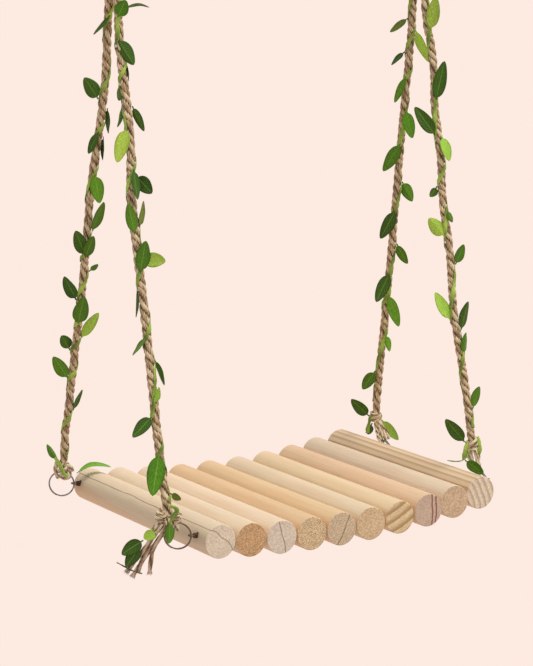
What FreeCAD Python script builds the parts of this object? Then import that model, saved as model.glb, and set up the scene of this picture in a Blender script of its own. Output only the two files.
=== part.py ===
import FreeCAD, Part
import math
import os

# A small swing: a row of ten round dowels strung on two wires, hung at its corners by four jute ropes with
# leaf vines. X runs across the row of dowels, Y along each dowel with the front at -Y, Z is up.
# Lengths are in mm, angles in degrees. The origin is midway between the two hanging rings, on the line that
# the rope loops swing about.

V = FreeCAD.Vector

# Dowels
dowel_count = 10
dowel_d = 35.0
dowel_length = 292.0
dowel_gap = 1.0
dowel_edge = 0.8
seat_sag = 10.0

# Binding wires, which run through cross bores near the dowels' ends and close in on each other to the right.
# The insets are those of the left eyes, and a skew is the wire's angle to the row
wire_d = 1.6
wire_play = 0.5
eye_wire_d = 1.7
bore_inset_front = 18.0
bore_inset_rear = 13.0
bore_rise = 3.0
wire_skew_front = 1.4
wire_skew_rear = -6.5
eye_gap = 3.0
eye_play = 0.6

# Split rings at the corners: two turns of wire side by side
ring_wire_d = 1.1
ring_turn_offset = 1.0
ring_od = 28.0
ring_split_width = 0.5

# Hanging rings
hanging_ring_od = 50.0
hanging_ring_wire_d = 5.0

# Ropes, knots and twine
rope_d = 9.4
twine_d = 3.5
strand_d = 4.5
loop_drop = 45.0
leg_drop = 545.0
leg_offset = 9.0
loop_play = 0.5
top_knot_d = 30.0
corner_knot_d = 15.0
twine_loop_r = 6.0
twine_spacing = 2.4

# Vines and leaves
vine_d = 1.2
vine_pitch = 70.0
vine_step = 55.0
leaf_length = 34.0
leaf_width = 14.0
leaf_thickness = 0.4
stalk_width = 1.2
stalk_length = 3.0
leaf_lift_share = 0.12
belly_share = 0.45

# Clearances
soft_gap = 0.3
pivot_gap = 0.4
open_pivot_gap = 0.6

# How far an arc of a cord reaches along the shorter of its two runs
arc_reach_share = 0.45
# A bend of less than this is left out of a cord's path
least_bend = 0.5

# Azimuths in the plan, named as someone at the front left corner sees them
right = -32.0
front = right - 90.0
left = right + 180.0
back = right + 90.0

# Radii and places that follow from the sizes above
dowel_r = dowel_d / 2
wire_r = wire_d / 2
eye_wire_r = eye_wire_d / 2
rope_r = rope_d / 2
twine_r = twine_d / 2
vine_r = vine_d / 2
corner_knot_r = corner_knot_d / 2
top_knot_r = top_knot_d / 2
ring_wire_r = ring_wire_d / 2
ring_half_width = ring_turn_offset / 2 + ring_wire_r
ring_r = ring_od / 2 - ring_wire_r
hanging_ring_wire_r = hanging_ring_wire_d / 2
hanging_ring_r = hanging_ring_od / 2 - hanging_ring_wire_r
eye_hole_r = ring_half_width + eye_play
eye_r = eye_hole_r + eye_wire_r
loop_r = hanging_ring_wire_r + loop_play + rope_r

pitch = dowel_d + dowel_gap
half_row = (dowel_count - 1) / 2 * pitch
row_r = half_row ** 2 / (2 * seat_sag)
top_knot_z = -loop_drop
end_dowel_z = top_knot_z - leg_drop
row_centre_z = end_dowel_z + row_r * math.cos(half_row / row_r)
wire_row_r = row_r - bore_rise
wire_skews = {-1: math.radians(wire_skew_front), 1: math.radians(wire_skew_rear)}
left_eye_ys = {-1: bore_inset_front - dowel_length / 2, 1: dowel_length / 2 - bore_inset_rear}
eye_angle = (half_row + dowel_r + eye_gap + eye_wire_r + eye_r) / wire_row_r
eye_x = wire_row_r * math.sin(eye_angle)
eye_z = row_centre_z - wire_row_r * math.cos(eye_angle)


def direction(azimuth, elevation=0.0):
    """A unit vector from an azimuth in the plan and an elevation above it."""
    a = math.radians(azimuth)
    e = math.radians(elevation)
    return V(math.cos(e) * math.cos(a), math.cos(e) * math.sin(a), math.sin(e))


def unit(vector):
    """The vector at length 1."""
    return vector / vector.Length


def across(vector, axis):
    """The unit part of a vector that is square to an axis."""
    return unit(vector - axis * vector.dot(axis))


def save(shape, node):
    """Writes one piece and checks that it is sound."""
    if not shape.isValid():
        print("not valid:", node)
    shape.exportStep("parts/" + node + ".step")


# Cords

def path_edges(points):
    """Straight runs joined by tangent arcs, each arc as large as its two runs allow."""
    kept = [points[0]]
    for point, after in zip(points[1:], points[2:]):
        bend = math.degrees((point - kept[-1]).getAngle(after - point))
        if bend > least_bend:
            kept.append(point)
    kept.append(points[-1])
    edges = []
    radii = []
    start = kept[0]
    for before, point, after in zip(kept, kept[1:], kept[2:]):
        into = unit(point - before)
        out = unit(after - point)
        half_turn = into.getAngle(out) / 2
        reach = arc_reach_share * min((point - before).Length, (after - point).Length)
        radius = reach / math.tan(half_turn)
        inward = unit(out - into)
        middle = point + inward * (radius / math.cos(half_turn) - radius)
        edges.append(Part.LineSegment(start, point - into * reach).toShape())
        edges.append(Part.Arc(point - into * reach, middle, point + out * reach).toShape())
        radii.append(radius)
        start = point + out * reach
    edges.append(Part.LineSegment(start, kept[-1]).toShape())
    return edges, radii


def tube(points, diameter, name):
    """A round cord along a route, with its radii and volume printed for comparison."""
    edges, radii = path_edges(points)
    spine = Part.Wire(edges)
    ring = Part.Wire([Part.makeCircle(diameter / 2, points[0], unit(edges[0].tangentAt(0)))])
    solid = spine.makePipeShell([ring], True, False)
    expected = math.pi * diameter ** 2 / 4 * spine.Length
    least = min(radii) if radii else 0.0
    ratio = solid.Volume / expected
    print(f"{name}: length {spine.Length:.1f}, least radius {least:.1f}, volume ratio {ratio:.4f}")
    return solid


def place_on(edges, share):
    """The point and the direction of a path at a share of its length."""
    left_over = share * sum(edge.Length for edge in edges)
    for edge in edges:
        if left_over <= edge.Length:
            break
        left_over -= edge.Length
    parameter = edge.getParameterByLength(min(left_over, edge.Length))
    return edge.valueAt(parameter), unit(edge.tangentAt(parameter))


# The seat

# How far each dowel's ends stand in from the longest one's, by its number
front_trim_shares = {9: 0.01, 10: 0.02}
rear_trim_shares = {2: 0.01, 3: 0.02, 4: 0.045, 5: 0.045, 6: 0.055, 7: 0.055, 8: 0.05, 9: 0.035, 10: 0.025}


def row_point(radius, angle, y):
    """A point on an arc of the row, by its angle from the middle."""
    return V(radius * math.sin(angle), y, row_centre_z - radius * math.cos(angle))


def dowel_angle(index):
    """The angle of a dowel from the middle of the row."""
    return (index - (dowel_count - 1) / 2) * pitch / row_r


def wire_y(y_side, x):
    """Where a binding wire is along the dowels, at a place across the row."""
    return left_eye_ys[y_side] + (x + eye_x) * math.tan(wire_skews[y_side])


def dowel(index):
    """A round dowel with softened ends and two cross bores for the binding wires."""
    angle = dowel_angle(index)
    front_trim = dowel_length * front_trim_shares.get(index + 1, 0.0)
    rear_trim = dowel_length * rear_trim_shares.get(index + 1, 0.0)
    start = row_point(row_r, angle, front_trim - dowel_length / 2)
    solid = Part.makeCylinder(dowel_r, dowel_length - front_trim - rear_trim, start, V(0, 1, 0))
    ends = [edge for edge in solid.Edges if isinstance(edge.Curve, Part.Circle)]
    solid = solid.makeFillet(dowel_edge, ends)
    for y_side, skew in wire_skews.items():
        along = unit(V(math.cos(angle), math.cos(angle) * math.tan(skew), math.sin(angle)))
        start = row_point(wire_row_r, angle, 0) - along * dowel_d
        start.y += wire_y(y_side, wire_row_r * math.sin(angle))
        bore = Part.makeCylinder(wire_r + wire_play, 2 * dowel_d, start, along)
        solid = solid.cut(bore)
    return solid


def binding_wire(y_side):
    """A wire along the row's arc that ends in a small eye beyond each end dowel."""
    skew = wire_skews[y_side]
    radius = wire_row_r / math.cos(skew) ** 2
    centre = V(0, wire_y(y_side, 0), row_centre_z - wire_row_r + radius)
    along = V(math.cos(skew), math.sin(skew), 0)
    end_angle = math.asin(eye_x / math.cos(skew) / radius)
    turn_axis = V(0, 0, 1).cross(along)
    sweep_angle = end_angle - eye_r / radius
    start = centre - along * (radius * math.sin(sweep_angle)) - V(0, 0, radius * math.cos(sweep_angle))
    start_direction = along * math.cos(sweep_angle) - V(0, 0, math.sin(sweep_angle))
    section = Part.Face(Part.Wire([Part.makeCircle(wire_r, start, start_direction)]))
    run = section.revolve(centre, turn_axis * -1, math.degrees(2 * sweep_angle))
    eyes = []
    for x_side in (-1, 1):
        end_direction = along * math.cos(end_angle) + V(0, 0, x_side * math.sin(end_angle))
        eye_axis = across(ring_up(x_side, y_side), end_direction)
        # The seam of each eye is turned away from the wire that joins it
        eye = Part.makeTorus(eye_r, eye_wire_r, V(0, 0, 0), V(0, 0, 1))
        away = end_direction * x_side
        turn = FreeCAD.Rotation(away, eye_axis.cross(away), eye_axis, "XYZ")
        eye.Placement = FreeCAD.Placement(corner_eye(x_side, y_side), turn)
        eyes.append(eye)
    return run.fuse(eyes)


# Corners: the split ring in each eye, and the knot above it

# How far the middles of the right rings hang below their eyes, as an angle
ring_dip = 35.0
# Where each knot sits from its eye: out along the ring and up, as shares of the ring's radius
knot_shares = {(-1, -1): (1.55, 1.2), (-1, 1): (0.8, 1.15), (1, -1): (2.0, 2.53), (1, 1): (-0.45, 2.27)}


def corner_eye(x_side, y_side):
    """The middle of a wire's eye."""
    return V(x_side * eye_x, wire_y(y_side, x_side * eye_x), eye_z)


def ring_outward(x_side, y_side):
    """The direction from a corner's eye to the middle of its ring."""
    if x_side < 0:
        return direction(left)
    return direction(-90.0 * y_side, -ring_dip)


def ring_axis(x_side, y_side):
    """The axis of a corner's ring."""
    return unit(ring_outward(x_side, y_side).cross(V(0, 0, 1)))


def ring_up(x_side, y_side):
    """The direction of a corner's ring where it passes through its eye."""
    return ring_axis(x_side, y_side).cross(ring_outward(x_side, y_side))


def ring_centre(x_side, y_side):
    """The middle of a corner's split ring."""
    return corner_eye(x_side, y_side) + ring_outward(x_side, y_side) * ring_r


def split_ring(x_side, y_side):
    """Two turns of wire side by side, each with a split where its end lies."""
    centre = ring_centre(x_side, y_side)
    axis = ring_axis(x_side, y_side)
    solid = None
    for side, split_angle in ((-1, 60.0), (1, 240.0)):
        turn = Part.makeTorus(ring_r, ring_wire_r, centre + axis * (side * ring_turn_offset / 2), axis)
        radial = FreeCAD.Rotation(axis, split_angle).multVec(ring_outward(x_side, y_side))
        split = Part.makeBox(ring_wire_d * 2, ring_split_width, ring_wire_d)
        split.translate(V(ring_r - ring_wire_d, -ring_split_width / 2, min(side, 0) * ring_wire_d))
        split.Placement = FreeCAD.Placement(
            centre, FreeCAD.Rotation(radial, axis.cross(radial), axis, "XYZ")).multiply(split.Placement)
        turn = turn.cut(split)
        solid = turn if solid is None else solid.fuse(turn)
    return solid


def knot_centre(x_side, y_side):
    """The middle of a corner knot."""
    out_share, up_share = knot_shares[(x_side, y_side)]
    level = direction(left) if x_side < 0 else V(0, -y_side, 0)
    return corner_eye(x_side, y_side) + level * (out_share * ring_r) + V(0, 0, up_share * ring_r)


def ring_groove(x_side, y_side):
    """The space that a left knot leaves for the ring that it is tied on."""
    axis = ring_axis(x_side, y_side)
    return Part.makeTorus(ring_r, ring_half_width + soft_gap, ring_centre(x_side, y_side), axis)


def corner_knot(x_side, y_side):
    """A knot as a ball, with the passage of its ring."""
    ball = Part.makeSphere(corner_knot_r, knot_centre(x_side, y_side))
    if x_side < 0:
        return ball.cut(ring_groove(x_side, y_side))
    return ball


def twine_loop(y_side, name):
    """A loop of twine from a right knot down through its ring and back."""
    knot = knot_centre(1, y_side)
    along = unit(knot - ring_centre(1, y_side))
    foot = ring_centre(1, y_side) + along * (ring_r - twine_r - ring_half_width - soft_gap)
    wide = V(twine_loop_r, 0, 0)
    narrow = V(twine_spacing, 0, 0)
    route = [knot - narrow, foot - wide, foot + wide, knot + narrow]
    loop = tube(route, twine_d, name)
    return loop.cut(Part.makeSphere(corner_knot_r + soft_gap, knot))


# Ropes

# Each leg's bends: share of the way down, then the shift to the right and to the front or rear in rope
# diameters
leg_bend_shares = {
    (-1, -1): [
        (0.10, -0.15, -0.75), (0.28, 0.2, -0.6), (0.38, -0.5, -0.53), (0.50, -0.45, -0.45),
        (0.58, -0.35, -0.37), (0.72, -0.35, -0.25), (0.94, -0.35, -0.1),
    ],
    (-1, 1): [
        (0.10, 0.0, -0.75), (0.19, 0.25, -0.7), (0.28, 0.12, -0.62), (0.38, -0.2, -0.53),
        (0.50, -0.05, -0.43), (0.65, 0.05, -0.32), (0.72, -0.1, -0.27), (0.85, -0.15, -0.17),
        (0.94, -0.3, -0.1),
    ],
    (1, -1): [
        (0.10, 0.1, -0.75), (0.15, 0.5, -0.73), (0.21, 0.5, -0.7), (0.28, 0.0, -0.64), (0.36, 0.2, -0.58),
        (0.43, 0.0, -0.52), (0.50, -0.3, -0.46), (0.57, 0.05, -0.4), (0.70, -0.4, -0.3), (0.78, -0.28, -0.24),
        (0.86, 0.02, -0.17), (0.94, 0.05, -0.1),
    ],
    (1, 1): [
        (0.10, -0.05, -0.75), (0.30, -0.2, -0.65), (0.66, 0.0, -0.3), (0.93, -0.15, -0.1),
    ],
}


def leg_route(x_side, y_side):
    """The route of a leg from the middle of the top knot to the middle of its corner knot."""
    top = V(x_side * eye_x, y_side * leg_offset, top_knot_z)
    foot = knot_centre(x_side, y_side)
    points = [top]
    for share, right_share, splay_share in leg_bend_shares[(x_side, y_side)]:
        shift = direction(right) * (right_share * rope_d) + V(0, y_side * splay_share * rope_d, 0)
        points.append(top + (foot - top) * share + shift)
    points.append(foot)
    return points


def leg(x_side, y_side, name):
    """A rope leg between its two knots."""
    gap = pivot_gap if x_side < 0 else open_pivot_gap
    solid = tube(leg_route(x_side, y_side), rope_d, name)
    solid = solid.cut(Part.makeSphere(top_knot_r + gap, V(x_side * eye_x, 0, top_knot_z)))
    solid = solid.cut(Part.makeSphere(corner_knot_r + soft_gap, knot_centre(x_side, y_side)))
    return max(solid.Solids, key=lambda piece: piece.Volume)


def top_knot(x_side):
    """The knot that joins a loop and two legs, as a ball about the point that the legs sway on."""
    return Part.makeSphere(top_knot_r, V(x_side * eye_x, 0, top_knot_z))


def top_loop(x_side):
    """A loop of rope from the top knot over the bottom of the hanging ring and back."""
    x = x_side * eye_x
    crown = Part.Arc(V(x, -loop_r, 0), V(x, 0, loop_r), V(x, loop_r, 0)).toShape()
    down = Part.LineSegment(V(x, -loop_r, top_knot_z), V(x, -loop_r, 0)).toShape()
    back_down = Part.LineSegment(V(x, loop_r, 0), V(x, loop_r, top_knot_z)).toShape()
    spine = Part.Wire([down, crown, back_down])
    ring = Part.Wire([Part.makeCircle(rope_r, V(x, -loop_r, top_knot_z), V(0, 0, 1))])
    solid = spine.makePipeShell([ring], True, False)
    return solid.cut(Part.makeSphere(top_knot_r + soft_gap, V(x, 0, top_knot_z)))


def hanging_ring(x_side):
    """A welded steel ring whose lowest wire is the line that the loop swings about."""
    centre = V(x_side * eye_x, 0, hanging_ring_r)
    return Part.makeTorus(hanging_ring_r, hanging_ring_wire_r, centre, V(0, 1, 0))


# Vines and leaves

# The leaves down each leg: share of the way down, azimuth of the root, azimuth and elevation of the leaf,
# length and width as shares of a full leaf, and how far its face is turned from the front
leaf_shares = {
    (-1, -1): [
        (0.034, right, right, 4, 0.78, 0.5, 60),
        (0.055, front, right, 64, 0.6, 0.95, 10),
        (0.095, front, right, -62, 0.9, 0.95, 10),
        (0.140, right, left, -88, 0.55, 0.45, 60),
        (0.178, left, front, -80, 0.5, 0.6, 50),
        (0.222, right, right, -80, 0.82, 0.6, 25),
        (0.219, left, left, -82, 0.65, 0.5, 50),
        (0.263, front - 35, left, -74, 1.05, 0.95, 0),
        (0.340, front + 40, front + 20, -83, 0.95, 0.6, -25),
        (0.351, right, right, -53, 0.72, 1.0, 10),
        (0.450, right, right, 84, 0.8, 0.7, 60),
        (0.461, front, left, 84, 0.93, 0.75, 15),
        (0.509, right, right - 45, -13, 0.97, 1.0, 0),
        (0.534, front + 10, right, 73, 0.95, 0.95, 10),
        (0.566, left, left, -88, 0.8, 0.55, 60),
        (0.654, front, left, -52, 0.7, 0.7, 55),
        (0.698, right, right, -83, 0.82, 0.6, 50),
        (0.782, front, right, 68, 0.55, 0.6, 50),
        (0.803, front - 35, left, -46, 0.85, 0.9, 10),
        (0.875, front, left, -76, 1.25, 1.2, 0),
        (0.882, back, back, -78, 0.95, 0.9, 20),
        (0.950, right, right, -40, 0.4, 0.5, 20),
    ],
    (-1, 1): [
        (0.050, front + 25, left + 30, -50, 0.8, 0.4, 50),
        (0.215, left, left - 40, 44, 0.78, 1.05, 0),
        (0.230, right, right, -86, 0.8, 0.65, 45),
        (0.276, front, left, -74, 0.75, 0.6, 30),
        (0.287, right, right, -86, 0.75, 0.6, 60),
        (0.362, front + 30, front + 60, -73, 0.9, 0.95, -10),
        (0.482, right, right, 83, 1.05, 0.85, 40),
        (0.530, front, left, 68, 0.95, 0.95, 10),
        (0.535, front + 8, right, 78, 0.88, 0.75, 10),
        (0.566, right, right, 50, 0.38, 0.4, 10),
        (0.629, left, left, 66, 0.88, 0.9, 0),
        (0.674, front, right, 86, 0.98, 1.1, 0),
        (0.707, right, right, 72, 1.05, 0.75, 0),
        (0.737, left, left, 62, 0.56, 0.85, 15),
        (0.795, left + 40, left, 59, 0.92, 0.95, 0),
        (0.866, right, right, 86, 0.82, 0.55, 50),
    ],
    (1, -1): [
        (0.121, front + 30, right, 69, 1.05, 0.95, 0),
        (0.268, front + 20, right, 78, 1.25, 0.95, 0),
        (0.341, front - 45, left, 66, 1.1, 0.95, 0),
        (0.345, front + 40, front + 40, -82, 0.85, 0.8, -30),
        (0.449, left, left, -62, 0.42, 0.6, 20),
        (0.500, front + 50, front + 50, -80, 0.45, 0.45, -35),
        (0.556, left + 40, left, 63, 0.78, 1.0, 0),
        (0.617, right, right, 72, 0.7, 0.75, 20),
        (0.732, left + 20, left, 75, 1.0, 0.85, 10),
        (0.757, right, right, 76, 0.95, 0.75, 30),
        (0.808, front + 55, right, 81, 0.7, 0.7, 40),
        (0.925, right, right, 77, 0.75, 0.7, 30),
    ],
    (1, 1): [
        (0.096, left, left, -48, 0.72, 0.6, 50),
        (0.120, front + 50, right, -67, 1.15, 0.75, 20),
        (0.168, left, left, -56, 0.62, 0.55, 50),
        (0.220, front - 20, left, -76, 0.9, 0.55, 20),
        (0.293, front + 30, front + 60, -72, 0.92, 0.9, 10),
        (0.367, front - 10, left, -64, 1.05, 0.95, 0),
        (0.453, right, right, -65, 0.76, 0.85, 0),
        (0.516, front, left, -67, 1.05, 0.95, 0),
        (0.593, right, right, -65, 0.8, 0.75, 20),
        (0.659, front, left, -69, 1.05, 0.95, 0),
        (0.709, front + 20, right, -70, 1.12, 0.85, 15),
        (0.800, front + 30, right, -74, 0.6, 0.5, 20),
        (0.890, left + 20, left, -68, 0.78, 0.85, 10),
    ],
}
# Leaves that grow at a knot: place of the root as shares of the knot's radius out to the left, up and to the
# front, then azimuth, elevation and the rest as above
knot_leaf_shares = {
    (-1, -1): [
        ((0.0, -0.55, 0.95), front, -78, 0.65, 0.7, 20),
    ],
    (-1, 1): [
        ((0.76, 0.78, 0.0), left, 65, 0.75, 0.6, 45),
        ((-1.04, -0.2, 0.0), right, 13, 1.25, 0.65, 50),
    ],
    (1, -1): [
        ((1.06, 0.4, 0.0), left, 56, 1.0, 0.95, 0),
        ((1.15, -1.8, 2.15), right, -30, 0.72, 0.78, 10),
    ],
    (1, 1): [
        ((1.05, 0.15, 0.0), left, 50, 0.85, 0.9, 0),
        ((-0.86, -0.38, 0.48), right, -55, 0.9, 0.75, 10),
        ((0.6, -0.85, 0.45), left, -70, 0.42, 0.6, 20),
    ],
}
# How far round the rope the vine passes beside a leaf's root
vine_beside = 60.0
# The vine's two ends, as shares of the way down
vine_start_share = 0.028
vine_end_share = 0.965
# Two leaves nearer than this along the leg share a node of the vine
node_share = 0.012


def leaf(root, lean, lift, azimuth, elevation, length_share, width_share, turn):
    """A flat lens of a leaf on a short stalk, with its direction measured from what it grows on."""
    along = unit(lean.multVec(direction(azimuth, elevation)) + lift * leaf_lift_share)
    normal = FreeCAD.Rotation(along, turn).multVec(across(lean.multVec(direction(front)), along))
    side = normal.cross(along)
    length = leaf_length * length_share
    half = leaf_width * width_share / 2
    stalk = stalk_width / 2
    belly = stalk_length + belly_share * (length - stalk_length)

    def at(s, t):
        return root + along * s + side * t - normal * (leaf_thickness / 2)

    edges = [
        Part.LineSegment(at(0, stalk), at(0, -stalk)).toShape(),
        Part.LineSegment(at(0, -stalk), at(stalk_length, -stalk)).toShape(),
        Part.Arc(at(stalk_length, -stalk), at(belly, -half), at(length, 0)).toShape(),
        Part.Arc(at(length, 0), at(belly, half), at(stalk_length, stalk)).toShape(),
        Part.LineSegment(at(stalk_length, stalk), at(0, stalk)).toShape(),
    ]
    return Part.Face(Part.Wire(edges)).extrude(normal * leaf_thickness)


def vine_nodes(rows):
    """The places that a vine passes, each beside a leaf's root and clear of the leaf."""
    nodes = [(vine_start_share, rows[0][1] + vine_step)]
    last_share = 0.0
    for share, root_azimuth, _, elevation, *_ in rows:
        if share - last_share > node_share:
            nodes.append((share, root_azimuth + math.copysign(vine_beside, elevation)))
            last_share = share
    nodes.append((vine_end_share, nodes[-1][1] - vine_step))
    return nodes


def vine_route(x_side, y_side):
    """The vine's route round its leg, each stretch turned by the amount nearest to the vine's own pitch."""
    edges, _ = path_edges(leg_route(x_side, y_side))
    length = sum(edge.Length for edge in edges)
    nodes = vine_nodes(leaf_shares[(x_side, y_side)])
    # The route's corners stand out so that the straight runs between them clear the rope
    radius = (rope_r + soft_gap + vine_r) / math.cos(math.radians(vine_step / 2))
    places = [nodes[0]]
    for share, azimuth in nodes[1:]:
        from_share, from_azimuth = places[-1]
        wanted = -360.0 * (share - from_share) * length / vine_pitch
        turn = (azimuth - from_azimuth) % 360.0
        turn += 360.0 * round((wanted - turn) / 360.0)
        steps = max(1, math.ceil(abs(turn) / vine_step))
        for step in range(1, steps + 1):
            part = step / steps
            places.append((from_share + (share - from_share) * part, from_azimuth + turn * part))
    points = []
    for share, azimuth in places:
        point, tangent = place_on(edges, share)
        points.append(point + across(direction(azimuth), tangent) * radius)
    return points


def leaves(x_side, y_side):
    """The leaves of one leg, each rooted a little off the rope and beside the vine."""
    edges, _ = path_edges(leg_route(x_side, y_side))
    radius = rope_r + soft_gap + leaf_thickness / 2
    blades = []
    for share, root_azimuth, *rest in leaf_shares[(x_side, y_side)]:
        point, tangent = place_on(edges, share)
        out = across(direction(root_azimuth), tangent)
        lean = FreeCAD.Rotation(V(0, 0, -1), tangent)
        blades.append(leaf(point + out * radius, lean, out, *rest))
    knot = knot_centre(x_side, y_side)
    for place, *rest in knot_leaf_shares[(x_side, y_side)]:
        root = from_knot(knot, V(*place) * corner_knot_r)
        blades.append(leaf(root, FreeCAD.Rotation(), unit(root - knot), *rest))
    return blades


# The frayed tail of the front left knot and the tendril at the front right

# Routes by hand from the middle of the knot: out to the left, up, and to the front, in mm
tail_routes = [
    [(6.4, -3.5, 2.6), (19.0, -18.0, 5.0), (31.0, -34.0, 4.0), (45.0, -53.0, 1.0)],
    [(2.5, -6.9, 3.8), (15.0, -23.0, 3.5), (26.5, -38.0, 2.0), (39.0, -57.0, 2.5)],
    [(6.4, -3.5, -2.6), (19.5, -19.5, -1.5), (27.0, -35.0, -3.0), (34.0, -54.0, -4.5)],
    [(2.5, -6.9, -3.8), (14.0, -22.0, -4.5), (20.5, -38.0, -7.0), (22.5, -57.0, -8.0)],
]
tendril_route = [(1.2, -4.9, 6.2), (7.0, -13.0, 13.0), (17.0, -17.0, 10.0), (27.0, -16.0, 5.0)]
# Tail leaves: place of the root as shares of the knot's radius to the left, up and to the front, then the
# rest as for the knots
tail_leaf_shares = [
    ((2.8, -2.57, 1.03), right, 35, 0.45, 0.75, 0),
    ((3.27, -3.07, 1.03), left, -38, 0.75, 0.95, 0),
    ((3.6, -3.5, 1.15), left, -66, 0.7, 0.9, 0),
]


def from_knot(knot, place):
    """A point given as left, up and front of a knot."""
    return knot + direction(left) * place[0] + V(0, 0, place[1]) + direction(front) * place[2]


def main():
    """Builds every piece and writes it under its name."""
    os.makedirs("parts", exist_ok=True)
    x_names = {-1: "left", 1: "right"}
    y_names = {-1: "front", 1: "rear"}
    for index in range(dowel_count):
        save(dowel(index), f"dowel_{index + 1:02d}")
    for y_side, y_name in y_names.items():
        save(binding_wire(y_side), "binding_wire_" + y_name)
        save(twine_loop(y_side, "corner_loop_right_" + y_name), "corner_loop_right_" + y_name)
    for x_side, x_name in x_names.items():
        save(top_knot(x_side), "top_knot_" + x_name)
        save(top_loop(x_side), "top_loop_" + x_name)
        save(hanging_ring(x_side), "hanging_ring_" + x_name)
        for y_side, y_name in y_names.items():
            corner = x_name + "_" + y_name
            save(split_ring(x_side, y_side), "corner_ring_" + corner)
            save(corner_knot(x_side, y_side), "corner_knot_" + corner)
            save(leg(x_side, y_side, "rope_" + corner), "rope_" + corner)
            save(tube(vine_route(x_side, y_side), vine_d, "vine_" + corner), "vine_" + corner)
            save(Part.makeCompound(leaves(x_side, y_side)), "leaves_" + corner)
    knot = knot_centre(-1, -1)
    for number, route in enumerate(tail_routes, 1):
        name = f"tail_strand_{number}"
        strand = tube([from_knot(knot, place) for place in route], strand_d, name)
        save(strand.cut(Part.makeSphere(corner_knot_r + soft_gap, knot)), name)
    blades = []
    for place, *rest in tail_leaf_shares:
        root = from_knot(knot, V(*place) * corner_knot_r)
        blades.append(leaf(root, FreeCAD.Rotation(), V(0, 0, 0), *rest))
    save(Part.makeCompound(blades), "tail_leaves")
    knot = knot_centre(1, -1)
    save(tube([from_knot(knot, place) for place in tendril_route], vine_d, "vine_tendril"), "vine_tendril")
    print(f"eyes at x {eye_x:.3f} and z {eye_z:.3f}; top knots at z {top_knot_z:.3f}")


main()
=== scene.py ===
"""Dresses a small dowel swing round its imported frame: wood, jute rope, leaf vines, wire and steel rings.

X runs across the row of dowels, Y along each dowel with the front at -Y, and Z is up. Lengths are in metres.
"""
import logging
import math
from dataclasses import dataclass, field
from enum import Enum
from typing import Sequence

import bmesh
import bpy
import numpy as np
from mathutils import Matrix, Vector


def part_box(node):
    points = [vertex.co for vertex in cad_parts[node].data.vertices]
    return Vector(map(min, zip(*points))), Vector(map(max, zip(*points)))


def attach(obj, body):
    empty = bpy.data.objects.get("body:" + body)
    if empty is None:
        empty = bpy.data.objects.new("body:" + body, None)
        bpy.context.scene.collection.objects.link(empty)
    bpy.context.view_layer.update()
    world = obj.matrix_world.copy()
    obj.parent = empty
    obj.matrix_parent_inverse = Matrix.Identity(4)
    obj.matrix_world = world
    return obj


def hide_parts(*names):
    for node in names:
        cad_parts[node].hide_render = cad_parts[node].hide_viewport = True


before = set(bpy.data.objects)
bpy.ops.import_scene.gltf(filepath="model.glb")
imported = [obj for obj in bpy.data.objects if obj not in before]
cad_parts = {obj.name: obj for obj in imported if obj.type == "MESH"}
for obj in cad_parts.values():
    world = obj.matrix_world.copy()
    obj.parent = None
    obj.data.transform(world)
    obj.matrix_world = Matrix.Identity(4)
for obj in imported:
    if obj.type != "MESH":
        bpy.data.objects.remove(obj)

log = logging.getLogger("swing")

SEED = 20
MM = 0.001
TURN = 2 * math.pi
HALF_SPAN = 0.185226
TOP_KNOT_HEIGHT = -0.045
EYE_HEIGHT = -0.583818

Array = np.ndarray
Random = np.random.Generator
Paint = tuple[int, int, int]
Place = tuple[float, float, float]
Route = Sequence[Place]
Piece = bpy.types.Object
Material = bpy.types.Material
Node = bpy.types.Node
NodeTree = bpy.types.NodeTree
NodeSocket = bpy.types.NodeSocket
Given = NodeSocket | float | Sequence[float] | None


# Places and directions


def bearing(azimuth: float, elevation: float = 0.0) -> Array:
    """The unit vector at so many degrees from +X towards +Y, and so many above the plan."""
    a, e = math.radians(azimuth), math.radians(elevation)
    return np.array([math.cos(e) * math.cos(a), math.cos(e) * math.sin(a), math.sin(e)])


# As someone at the front left corner sees them
RIGHT = bearing(-32.0)
FRONT = bearing(-122.0)
LEFT = bearing(148.0)
UP = bearing(0.0, 90.0)


def unit(vectors: Array) -> Array:
    """The vector, or each row of vectors, at length 1."""
    return vectors / np.linalg.norm(vectors, axis=-1, keepdims=True)


def across(vector: Array, axis: Array) -> Array:
    """The unit part of a vector, or of each row, that is square to an axis."""
    return unit(vector - axis * np.sum(vector * axis, axis=-1, keepdims=True))


def beside(point: Array, places: Route) -> list[Array]:
    """Points given in millimetres to the left, up and to the front of another."""
    return [point + (LEFT * place[0] + UP * place[1] + FRONT * place[2]) * MM for place in places]


def paint(red: float, green: float, blue: float) -> tuple[float, float, float, float]:
    """A colour as a screen shows it, from 0 to 255, turned into the values that light is added in."""
    shares = [value / 255 for value in (red, green, blue)]
    return (*(s / 12.92 if s <= 0.04045 else ((s + 0.055) / 1.055) ** 2.4 for s in shares), 1.0)


def ripples(rng: Random, along: Array, lengths: Sequence[float]) -> Array:
    """The sum of waves of some lengths along a line, each with its own start."""
    return sum(np.sin(along / length * TURN + rng.uniform(0, TURN)) for length in lengths)


class Corner(Enum):
    """The corners that the seat hangs from, as the signs of their X and Y."""

    LEFT_FRONT = (-1, -1)
    LEFT_REAR = (-1, 1)
    RIGHT_FRONT = (1, -1)
    RIGHT_REAR = (1, 1)

    @property
    def label(self) -> str:
        """The corner's name as the frame writes it."""
        return self.name.lower()

    @property
    def body(self) -> str:
        """The body that the corner's rope and knot move with."""
        return "left_bridle" if self.value[0] < 0 else "right_bridle"

    def middle_of(self, piece: str) -> Array:
        """The middle of the corner's knot or ring."""
        low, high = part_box(f"corner_{piece}_{self.label}")
        return np.array((low + high) / 2)


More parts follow.
